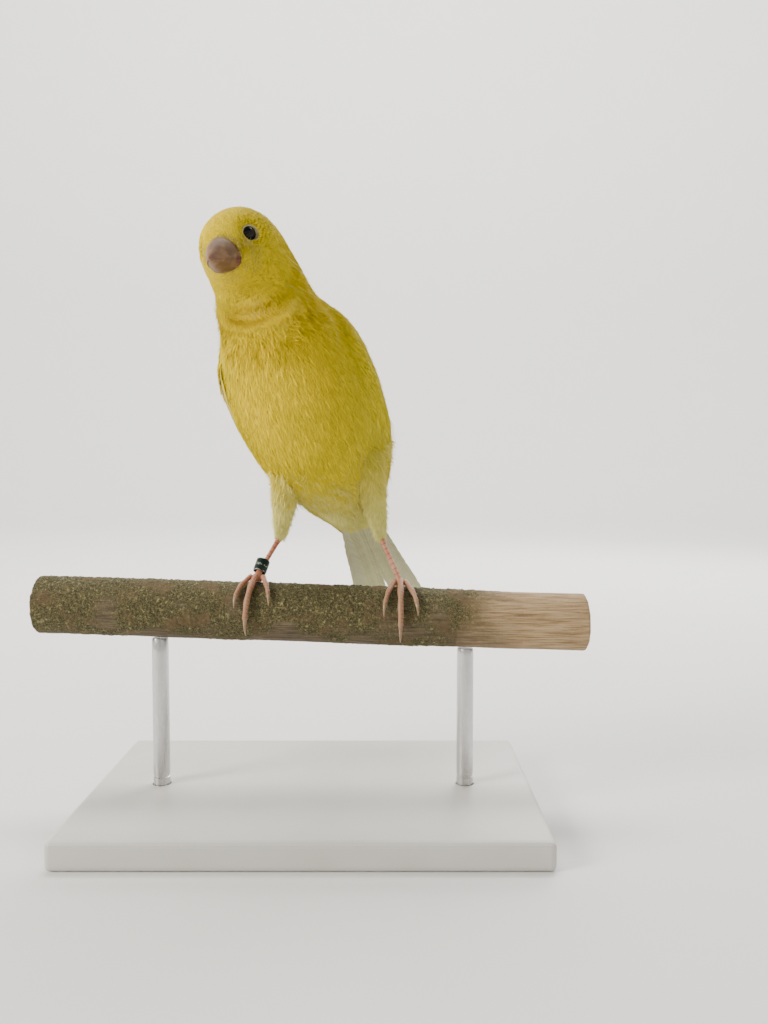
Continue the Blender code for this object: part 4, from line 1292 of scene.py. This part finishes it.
body_coat("coat_face", 0.0, 2.4, WHOLE, 63)
body_coat("coat_crown", 2.4, 4.5, WHOLE, 94)
body_coat("coat_nape_and_throat", 4.5, 6.4, WHOLE, 185)
body_coat("coat_shoulder_left", 6.4, 8.2, LEFT_HALF, 190)
body_coat("coat_shoulder_right", 6.4, 8.2, RIGHT_HALF, 197)
body_coat("coat_belly_left", 8.2, 10.2, LEFT_HALF, 187)
body_coat("coat_belly_right", 8.2, 10.2, RIGHT_HALF, 194)
body_coat("coat_vent", 10.2, 12.0, WHOLE, 77, tips=(-0.1, 0.6), fluff=0.25)

# Throat ruff.
# Where the bent neck meets the breast the feathers crowd together and stand off a little. This sparse layer
# of longer, more ruffled ones hangs from the throat over that fold, as it does on the living bird.
RUFF_FEATHERS = 900
RUFF_PLACES = (4.9, 6.5)
RUFF_TURNS = (1.5 * math.pi - 1.25, 1.5 * math.pi + 1.25)
RUFF_LENGTHS = (2.0, 3.6)
rng = np.random.default_rng(505)
spans = (RUFF_PLACES, RUFF_TURNS, RUFF_LENGTHS)
place, turn, length = (rng.uniform(*span, RUFF_FEATHERS) for span in spans)
points, along, tone = fans(coat_surface, place, turn, length, rng, barbs=9, width=0.085,
                           tips=(-0.9, 0.1), ruffle=0.3, fluff=0.5, least=2.5)
# The ruff's tips are darkened rather than paled: painted shade in the fold under the throat.
frost_and_shade = 0.15 * rng.uniform(0, 1, RUFF_FEATHERS) ** 2 - 0.35
corner = map_corner(place, turn, RUFF_PLACES, RUFF_TURNS)
ruff = coat_mesh("coat_throat_ruff", points, along, tone, corner, frost_and_shade)
wear(put_in_scene("coat_throat_ruff", ruff), COAT)

# Thigh feathers.
# The upper legs wear short fluffy feathers, pale yellow to nearly white, that hang down and back and end in
# a ragged cuff over the top of the bare leg.
THIGH_COAT = plumage_coat("thigh_coat", (0.90, 0.84, 0.28, 1), (0.42, 0.31, 0.0, 1))
THIGH_PLACES = (0.06, 0.97)
THIGH_SPACE = 0.56
THIGH_LENGTHS = ((0.1, 0.5, 0.85, 1.0), (5.2, 4.8, 4.2, 2.6))
for side, seed in (("left", 31), ("right", 32)):
    rng = np.random.default_rng(seed)
    surface = thigh_surface(side)
    place, turn = even_roots(surface, *THIGH_PLACES, lambda p: THIGH_SPACE + 0 * p)
    length = np.interp(place, *THIGH_LENGTHS) * rng.uniform(0.65, 1.35, len(place))
    points, along, tone = fans(surface, place, turn, length, rng, width=0.085, tips=(-0.3, 0.9),
                               ruffle=0.26, fluff=0.7)
    name = f"coat_thigh_{side}"
    frost_and_shade = np.clip(place * 1.6 - 0.2, 0, 1) * rng.uniform(0.2, 0.8, len(place)) ** 1.5
    coat = coat_mesh(name, points, along, tone, map_corner(place, turn, THIGH_PLACES), frost_and_shade)
    wear(put_in_scene(name, coat), THIGH_COAT)

# Flank and vent tufts.
# Loose pale feathers stray out where each flank meets its thigh, and a small bunch of them hangs in a point
# under the vent. They are the same fans as the thighs', rooted in the body's skin and standing off it.
TUFTS = (
    # feathers, places, turns (in half turns), lengths: right flank, left flank, vent
    (80, (9.2, 9.8), (1.08, 1.25), (2.2, 4.2)),
    (40, (9.7, 10.4), (1.84, 1.94), (2.2, 3.6)),
    (90, (11.0, 11.6), (1.22, 1.42), (2.5, 5.0)),
)
rng = np.random.default_rng(606)
drawn = [[rng.uniform(*span, count) for span in spans] for count, *spans in TUFTS]
place, turn, length = (np.concatenate(values) for values in zip(*drawn))
turn = turn * math.pi
points, along, tone = fans(coat_surface, place, turn, length, rng, width=0.07,
                           tips=(-1.0, 0.4), ruffle=0.35, fluff=0.5)
frost_and_shade = rng.uniform(0.2, 0.8, len(place))
corner = map_corner(place, turn, (0, TAIL_PLACE))
tufts = put_in_scene("coat_loose_tufts", coat_mesh("coat_loose_tufts", points, along, tone, corner, frost_and_shade))
wear(tufts, THIGH_COAT)

# Bristles and loose wisps.
# Fine bare-shafted bristles fringe the base of the bill and curl over the lores and chin. Longer hair-like
# feathers stray from cheek, throat, breast, flanks and vent. Each is one tapered shaft of a pale yellow.
WISP_ROWS = 7
WISP_CORNERS = (0.0, 2.1, 4.2)  # round each shaft, in radians
WISP_GROUPS = (
    # how many, places, turns, lengths, headings, lifts, curl, width
    (360, (0.02, 0.25), (0.0, 6.28), (0.9, 1.9), (2.5, 3.8), (0.45, 1.1), 0.9, 0.038),
    (210, (0.25, 1.9), (-0.95, 0.6), (1.0, 2.3), (-1.4, 1.2), (0.3, 0.9), 1.6, 0.036),
    (90, (0.25, 1.5), (2.5, 4.0), (1.0, 2.1), (-1.2, 1.2), (0.3, 0.8), 1.5, 0.034),
    (70, (0.2, 1.2), (4.2, 5.2), (0.9, 1.8), (-1.0, 1.0), (0.3, 0.8), 1.3, 0.034),
    (60, (2.6, 5.0), (4.7, 6.1), (5.0, 10.5), (-0.25, 0.25), (0.03, 0.14), 0.15, 0.045),
    (40, (6.5, 9.5), (4.0, 6.0), (3.5, 6.5), (-0.2, 0.2), (0.04, 0.2), 0.3, 0.045),
    (120, (9.2, 10.8), (-1.2, 0.1), (4.5, 8.5), (-0.5, 0.5), (0.08, 0.4), 0.6, 0.05),
    (120, (9.2, 10.8), (3.1, 4.4), (4.0, 7.5), (-0.6, 0.6), (0.08, 0.5), 0.7, 0.05),
    (60, (9.9, 11.2), (-1.6, -0.8), (6.0, 10.0), (-0.1, 0.5), (0.03, 0.16), 0.3, 0.085),
)


def wisps(surface, place, turn, length, heading, lift, curl, width):
    """Single shafts as arrays of points: each starts in the coat and runs on in steps, while its heading
    round the outward direction and its lift off the surface change evenly along it."""
    ahead = unit(surface(place + STEP, turn) - surface(place - STEP, turn))
    aside = unit(surface(place, turn + STEP) - surface(place, turn - STEP))
    out = np.cross(ahead, aside)
    out *= np.sign((out * (surface(place, turn, -0.5) - surface(place, turn))).sum(1, keepdims=True))
    along = np.linspace(0, 1, WISP_ROWS)[None, :, None]
    swing = heading[:, None, None] + curl[:, None, None] * along
    rise = lift[:, None, None] * (1 - 0.8 * along)
    flow = np.cos(swing) * ahead[:, None] + np.sin(swing) * aside[:, None]
    flow = np.cos(rise) * flow + np.sin(rise) * out[:, None]
    path = np.cumsum(flow, axis=1) * (length / WISP_ROWS)[:, None, None]
    path += surface(place, turn, 0.35)[:, None]
    left = unit(np.cross(flow, out[:, None]))
    over = np.cross(left, flow)
    girth = width[:, None, None] * (1 - along) ** 0.6 + 0.004
    rings = [path + girth * (math.cos(turn) * left + math.sin(turn) * over) for turn in WISP_CORNERS]
    rings = np.stack(rings, 2)
    return np.concatenate([rings.reshape(len(place), -1, 3), path[:, :1], path[:, -1:]], axis=1)


def wisp_mesh(name, points, place, turn, tone):
    """One mesh of all shafts, each with a patch of the bake map at its root's place on the unwrap."""
    count, each = points.shape[:2]
    walls, ends = tube_faces(WISP_ROWS, 3)
    k = np.arange(count)[:, None, None] * each
    mesh = mesh_from(name, points.reshape(-1, 3), [(walls + k).reshape(-1, 4), (ends + k).reshape(-1, 3)])
    along = np.append(np.repeat(np.linspace(0, 1, WISP_ROWS), 3), [0.0, 1.0])
    point_vector(mesh, "barb", np.tile(along, count), np.repeat(tone, each), np.full(count * each, 0.6))
    across = np.append(np.tile([0.1, 0.9, 0.5], WISP_ROWS), [0.5, 0.5])
    u, v = map_corner(place, turn % (2 * math.pi), (0, TAIL_PLACE + 1))
    uv = np.stack([u[:, None] + PATCH * across, v[:, None] + PATCH * along], -1)
    bake_map(mesh, uv.reshape(-1, 2))
    return mesh


rng = np.random.default_rng(61)
grown = []
for count, *spans, curl, width in WISP_GROUPS:
    place, turn, length, heading, lift = (rng.uniform(*span, count) for span in spans)
    keep = from_eye(coat_surface(place, turn)) > LID_RADIUS + 0.3 + 0.8 * np.minimum(length, 2.5)
    kept = [values[keep] for values in (place, turn, length, heading, lift)]
    bend = rng.normal(0, curl, len(kept[0]))
    girth = width * rng.uniform(0.7, 1.2, len(kept[0]))
    grown.append((wisps(coat_surface, *kept, bend, girth), *kept[:2]))
points, place, turn = (np.concatenate(values) for values in zip(*grown))
stray = wisp_mesh("coat_bristles", points, place, turn, rng.uniform(0, 1, len(place)))
WISP = plumage_coat("bristle", (0.86, 0.76, 0.26, 1), (0.14, 0.08, 0.01, 1))
wear(put_in_scene("coat_bristles", stray), WISP)

# Wings.
# Each folded wing is a stack of stiff feathers that overlap like slates: long primaries, shorter
# secondaries, three broad tertials over them and rows of coverts in front. A vane is a thin plate of barbs
# zipped together on each side of a pale shaft. All grow from the wing bones and fold shut like a fan.
VANE_COLUMNS = np.array([-1.0, -0.8, -0.55, -0.3, -0.12, -0.04, 0.04, 0.12, 0.3, 0.55, 0.8, 1.0])
VANE_THICKNESS = 0.13
SHAFT_HEIGHT, SHAFT_WIDTH = 0.10, 0.07  # over the vane in millimetres, and as a share of its half width
BARB_PITCH = 0.38
GUIDE_RUN = 10.4  # millimetres of the wing from one section to the next
PRIMARY_TIPS = (7.7, 7.95, 8.0, 7.8, 7.4, 7.0, 6.5)
SECONDARIES, LONG_COVERTS = 10, 5
TERTIALS = ((-8.2, 5.6, 4.2), (-5.8, 5.15, 4.3), (-3.4, 4.6, 3.9))  # middle line, tip, half width
COVERTS = (
    # start and tip on the guide, how many, half width, height over the guide
    (0.95, 3.25, 13, 2.2, 0.55),
    (0.75, 2.5, 14, 2.0, 0.74),
    (0.55, 1.95, 14, 1.9, 0.88),
    (0.35, 1.5, 14, 1.7, 0.97),
    (0.15, 1.1, 13, 1.5, 1.02),
    (0.0, 0.75, 11, 1.4, 1.05),
)


def wing_guide(side, place, level, across, out):
    """Points over a folded wing. Place runs from its bend (0) to its tip (8), level from its lower edge (0)
    to its upper one (1), across is a distance upwards from there and out the height over the guide."""
    place, level, across, out = np.broadcast_arrays(np.asarray(place, float), level, across, out)
    forward, width, height, low, high = np.moveaxis(
        smooth(WING_SECTIONS, place.ravel()).reshape(*place.shape, 5), -1, 0)
    turn = np.radians(low + (high - low) * level) + across / ((width + height) / 2)
    return TRUNK.at(forward, (height + out) * np.sin(turn), SIDES[side] * (width + out) * np.cos(turn))


def vane(spot, reach, half, rng, blunt=8.0, shaft=0.0, rows=44, camber=0.25, tilt=0.0, yellow=0.5):
    """One feather as a closed thin plate. Its half width falls off by a power of the share of its length,
    its section is a low arch with a ridge for the shaft, and its edge is a little frayed."""
    share = np.linspace(0, 0.997, rows)[:, None]
    frayed = 1 - 0.09 * np.clip(rng.normal(0, 1, (rows, 1)) - 0.9, 0, 1.5)
    width = half * (0.45 + 0.55 * np.minimum(1, share * 5)) * (1 - share**blunt) ** 0.5 * frayed
    across = VANE_COLUMNS[None, :]
    place = across + shaft * (1 - np.abs(across))
    ridge = SHAFT_HEIGHT * bell(across, 0.0, SHAFT_WIDTH) * (1 - share)
    rise = camber * (1 - place**2) + tilt * place
    thin = VANE_THICKNESS * (1 - 0.8 * np.abs(across)) + 0 * share
    sheets = [spot(share, width * place, rise + ridge + thin / 2),
              spot(share, width * place * 0.99, rise - thin / 2)]
    tone = rng.uniform(0, 1)
    values = np.broadcast_arrays(reach * share, width * across, tone, share, across, yellow)
    return np.stack(sheets, 2), np.stack(values, -1)


def vane_mesh(name, vanes):
    """All the vanes of one piece as one mesh. On its bake map every vane has a cell of its own."""
    cells = math.ceil(math.sqrt(len(vanes)))
    points, faces, values, uv, start = [], [], [], [], 0
    for k, (sheets, value) in enumerate(vanes):
        rows, columns = sheets.shape[:2]
        n = np.arange(rows * columns * 2).reshape(rows, columns, 2) + start
        top, under = n[..., 0], n[..., 1]
        for sheet in (top, under.T):
            corners = [sheet[:-1, :-1], sheet[:-1, 1:], sheet[1:, 1:], sheet[1:, :-1]]
            faces.append(np.stack(corners, -1).reshape(-1, 4))
        for edge in (n[::-1, 0], n[0], n[:, -1], n[-1, ::-1]):
            faces.append(np.stack([edge[:-1, 0], edge[:-1, 1], edge[1:, 1], edge[1:, 0]], -1))
        points.append(sheets.reshape(-1, 3))
        values.append(np.repeat(value.reshape(-1, 6), 2, axis=0))
        inset = np.array([1.0, 0.95])
        u = (k % cells + 0.5 + 0.45 * value[..., 4, None] * inset) / cells
        v = (k // cells + 0.5 + 0.9 * (value[..., 3, None] - 0.5) * inset) / cells
        uv.append(np.stack([u, v], -1).reshape(-1, 2))
        start += n.size
    mesh = mesh_from(name, np.vstack(points), [np.vstack(faces)])
    mesh.set_sharp_from_angle(angle=math.radians(50))
    values = np.vstack(values)
    point_vector(mesh, "web", values[:, 0], values[:, 1], values[:, 2])
    point_vector(mesh, "vane", values[:, 3], values[:, 4], values[:, 5])
    bake_map(mesh, np.vstack(uv))
    return mesh


def flight_feather(name, pale, yellow_colour, shaft_colour, inner):
    """Slanting barbs in soft locks, pale along the shaft and yellow to the edges. Towards the shaft, where
    the next feathers cover it, the vane is darkened down to inner: partly its greyer inner web and partly
    painted shade."""
    made, tree, shader = new_material(name, 0.5, 0.0, {"Specular IOR Level": 0.4})
    reach, aside, tone = stored(tree, "web")
    _, across, yellow = stored(tree, "vane")
    away = worked(tree, "ABSOLUTE", across)
    slant = worked(tree, "SUBTRACT", reach, worked(tree, "MULTIPLY", worked(tree, "ABSOLUTE", aside), 1.3))
    marks = placed_group(tree, MARKINGS)
    ragged = noise(tree, object_place(tree), 0.7, 4.0)
    slant = worked(tree, "ADD", slant, worked(tree, "MULTIPLY", ragged, 0.7))
    barbs = worked(tree, "SINE", worked(tree, "MULTIPLY", slant, 2 * math.pi / BARB_PITCH))
    coarse = add(tree, "CombineXYZ", {0: worked(tree, "MULTIPLY", slant, 1.6), 1: tone}).outputs[0]
    locks = noise(tree, coarse, 1.0, 3.0)
    edge = worked(tree, "MULTIPLY", ranged(tree, away, 0.35, 0.95, 0.35, 1.0), yellow)
    edge = worked(tree, "MAXIMUM", edge, ranged(tree, yellow, 0.6, 1.0, 0.0, 0.85))
    colour = mixed(tree, edge, pale, mixed(tree, 0.55, marks["Colour"], yellow_colour))
    shade = worked(tree, "MULTIPLY", ranged(tree, tone, 0.0, 1.0, 0.86, 1.04),
                   ranged(tree, locks, 0.25, 0.7, 0.8, 1.06))
    shade = worked(tree, "MULTIPLY", shade, ranged(tree, barbs, -1, 1, 0.93, 1.0))
    # Darker towards the shaft: partly the inner web's own grey, partly painted shade under the next
    # feather.
    shade = worked(tree, "MULTIPLY", shade, ranged(tree, away, 0.4, 0.92, inner, 1.0))
    colour = add(tree, "VectorMath", {0: colour, 3: shade}, operation="SCALE").outputs[0]
    at_edge = worked(tree, "MULTIPLY", ranged(tree, away, 0.86, 1.0),
                     ranged(tree, yellow, 0.6, 1.0, 1.0 - inner, 0.05))
    colour = mixed(tree, at_edge, colour, (0.88, 0.84, 0.60, 1))
    shaft = ranged(tree, away, 0.09, 0.05)
    colour = mixed(tree, worked(tree, "MULTIPLY", shaft, 0.75), colour, shaft_colour)
    height = worked(tree, "ADD", worked(tree, "MULTIPLY", barbs, 0.35), locks)
    finish_shader(tree, shader, base_color=colour, roughness=ranged(tree, locks, 0.3, 0.7, 0.42, 0.58),
                  normal=raised(tree, height, 0.10, 0.7))
    return made


def wing_vanes(side, seed):
    """The wing's feathers from the lowest layer to the top one: where each starts and ends on the guide,
    how far it lies from an edge and how wide it is."""
    rng = np.random.default_rng(seed)

    def grown(start, end, level, centre, half, out, lean=0.0, **shape):
        """One vane, which runs straight on the guide and may lean aside towards its tip."""
        def spot(share, across, rise):
            return wing_guide(side, start + (end - start) * share, level, centre + lean * share + across,
                              out + rise)

        return vane(spot, (end - start) * GUIDE_RUN, half, rng, **shape)

    for k, tip in enumerate(PRIMARY_TIPS):
        yield grown(2.6, tip, 0.0, 1.9 + 0.75 * k, 2.5, -0.55 + 0.07 * k, shaft=-0.35, tilt=-0.14,
                    yellow=0.5 if k else 1.0)
    for k in range(SECONDARIES):
        yield grown(2.2, 5.9 - 0.14 * k, 0.0, 6.4 + 1.5 * k, 3.3, -0.05 + 0.045 * k, shaft=-0.2, tilt=-0.12,
                    blunt=6.0, yellow=0.55)
    for k, (centre, tip, half) in enumerate(TERTIALS):
        yield grown(1.7, tip, 1.0, centre, half, 0.48 + 0.14 * k, tilt=-0.1, blunt=5.0, yellow=0.6)
    for k in range(LONG_COVERTS):
        yield grown(1.35, 3.5 - 0.06 * k, 0.0, 1.3 + 1.15 * k, 1.5, 0.15 + 0.08 * k, tilt=-0.1, blunt=4.0,
                    rows=26, yellow=0.75)
    for start, tip, count, half, out in COVERTS:
        for k in range(count):
            slip = 0.07 * rng.normal()
            aside = 0.25 * rng.normal()
            yield grown(max(start + slip, 0.0), tip + slip, (k + 0.4) / count, aside, half, out + 0.015 * k,
                        lean=0.3 * rng.normal(), tilt=-0.12, blunt=2.6, rows=20, camber=0.3, yellow=1.0)


FLIGHT = flight_feather("flight_feather", (0.68, 0.62, 0.25, 1), (0.78, 0.58, 0.006, 1),
                        (0.46, 0.34, 0.13, 1), 0.55)
for side, seed in (("left", 41), ("right", 42)):
    name = f"{side}_wing_vanes"
    wing = wear(put_in_scene(name, vane_mesh(name, list(wing_vanes(side, seed)))), FLIGHT)
    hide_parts(f"{side}_wing")

# Tail.
# Twelve stiff feathers spread in a narrow fan that is notched in the middle. The central pair lies on top
# and each next one is tucked under it, so that the outer edges show from below. They are pale and thin.
TAIL_LENGTH = 50.0
TAIL_WIDTHS = (6.2, 12.8)  # half, at root and tip
TAIL_REACHES = (0.97, 0.985, 1.0, 1.0, 0.98, 0.95)  # from the central pair outwards
TAIL_HALF = 2.75  # of one feather


def tail_vanes(seed):
    """The tail's feathers from the outer pair up to the central one. Each runs out sideways by a power of
    the share of its length, over an arch that deepens towards the tips."""
    rng = np.random.default_rng(seed)
    for k, reach in reversed(list(enumerate(TAIL_REACHES))):
        for hand in (1.0, -1.0):
            base, tip = hand * (0.6 + 0.9 * k), hand * (4.7 + 1.15 * k)
            layer = 0.5 - 0.2 * k + 0.04 * hand

            def spot(share, across, rise):
                run = share * reach
                aside = base + (tip - base) * run**1.3 + across * (0.55 + 0.45 * np.minimum(1, run * 1.6))
                span = TAIL_WIDTHS[0] + (TAIL_WIDTHS[1] - TAIL_WIDTHS[0]) * run**1.15
                arch = -0.9 * (aside / span) ** 2 * (0.6 + run)
                return TAIL.at(-TAIL_LENGTH * run + 0 * across, arch + layer + rise, aside)

            yield vane(spot, TAIL_LENGTH * reach, TAIL_HALF, rng, blunt=14.0, shaft=0.25 * hand, rows=60,
                       camber=0.2, tilt=-0.1 * hand, yellow=0.35)


TAIL_FEATHER = flight_feather("tail_feather", (0.70, 0.70, 0.46, 1), (0.74, 0.66, 0.14, 1),
                              (0.62, 0.54, 0.30, 1), 0.9)
tail = wear(put_in_scene("tail_vanes", vane_mesh("tail_vanes", list(tail_vanes(51)))), TAIL_FEATHER)
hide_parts("tail")

# Floor, light and camera.
# The floor is one pale dish that curves up far away on every side. Large soft lamps stand above it.
# The camera stands where the photo was taken from, a little under the bird's breast, tipped 3 degrees down.
FLOOR_REACH, FLOOR_ROUND, FLOOR_TOP = 1400, 500, 2200
FLOOR_SIDES = 64


def studio():
    """A flat disc, a quarter circle that turns upwards and a straight wall, all carried once round."""
    bend = np.linspace(0, math.pi / 2, 12)
    flat = (0, 300, 700, 1100)
    reach = np.array([*flat, *(FLOOR_REACH + FLOOR_ROUND * np.sin(bend)), FLOOR_REACH + FLOOR_ROUND])
    rise = np.array([*(0 * r for r in flat), *(FLOOR_ROUND - FLOOR_ROUND * np.cos(bend)), FLOOR_TOP])
    turn = full_turn(FLOOR_SIDES)
    points = np.stack([reach[:, None] * np.cos(turn), reach[:, None] * np.sin(turn),
                       np.broadcast_to(rise[:, None], (len(rise), FLOOR_SIDES))], -1)
    k = np.arange(len(reach) * FLOOR_SIDES).reshape(-1, FLOOR_SIDES)
    beside = np.roll(k, -1, axis=1)
    walls = np.stack([k[1:-1], k[2:], beside[2:], beside[1:-1]], -1).reshape(-1, 4)
    middle = np.stack([np.zeros(FLOOR_SIDES, int), k[1], beside[1]], -1)
    mesh = bpy.data.meshes.new("floor")
    faces = [*walls.tolist(), *middle.tolist()]
    mesh.from_pydata((points.reshape(-1, 3) * MM).tolist(), [], faces)
    mesh.shade_smooth()
    obj = bpy.data.objects.new("floor", mesh)
    bpy.context.scene.collection.objects.link(obj)
    made, tree, shader = new_material("pale_floor", 0.85)
    speck = noise(tree, object_place(tree), 0.02, 3.0)
    colour = mixed(tree, speck, (0.74, 0.73, 0.71, 1), (0.77, 0.765, 0.75, 1))
    finish_shader(tree, shader, base_color=colour)
    wear(obj, made)
    obj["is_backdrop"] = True


def lamp(name, place, aim, size, watts, colour):
    """A square soft lamp at a place in millimetres, turned to another one."""
    light = bpy.data.lights.new(name, "AREA")
    light.size, light.energy, light.color = size, watts, colour
    obj = bpy.data.objects.new(name, light)
    bpy.context.scene.collection.objects.link(obj)
    obj.location = [v * MM for v in place]
    direction = obj.location.copy()
    direction.x, direction.y, direction.z = ((p - a) * MM for p, a in zip(place, aim))
    obj.rotation_euler = direction.to_track_quat("Z", "Y").to_euler()


studio()
lamp("key", (-760, -400, 480), (0, 0, 110), 0.3, 12.0, (1.0, 0.96, 0.88))
lamp("fill", (620, -420, 330), (0, 0, 110), 0.6, 0.3, (0.93, 0.96, 1.0))
lamp("back", (350, 640, 560), (0, 0, 120), 0.5, 5.0, (1.0, 0.99, 0.97))
lamp("wall", (0, 500, 1500), (0, 1900, 500), 1.2, 60.0, (1.0, 0.99, 0.97))
sky = bpy.data.worlds.new("studio")
bpy.context.scene.world = sky
sky.use_nodes = True
glow = sky.node_tree.nodes["Background"].inputs
glow["Color"].default_value = (0.86, 0.88, 0.9, 1)
glow["Strength"].default_value = 0.28

camera = bpy.data.objects.new("camera", bpy.data.cameras.new("camera"))
bpy.context.scene.collection.objects.link(camera)
camera.data.sensor_width = 36.0
camera.data.lens = 30.23
camera.data.clip_start = 0.01
camera.location = (0.0215, -0.257, 0.104)
camera.rotation_euler = (math.radians(87.0), 0, 0)
bpy.context.scene.camera = camera

sizes = {"cad": [list(c) for c in cad_box], "visual": [list(c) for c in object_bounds()]}
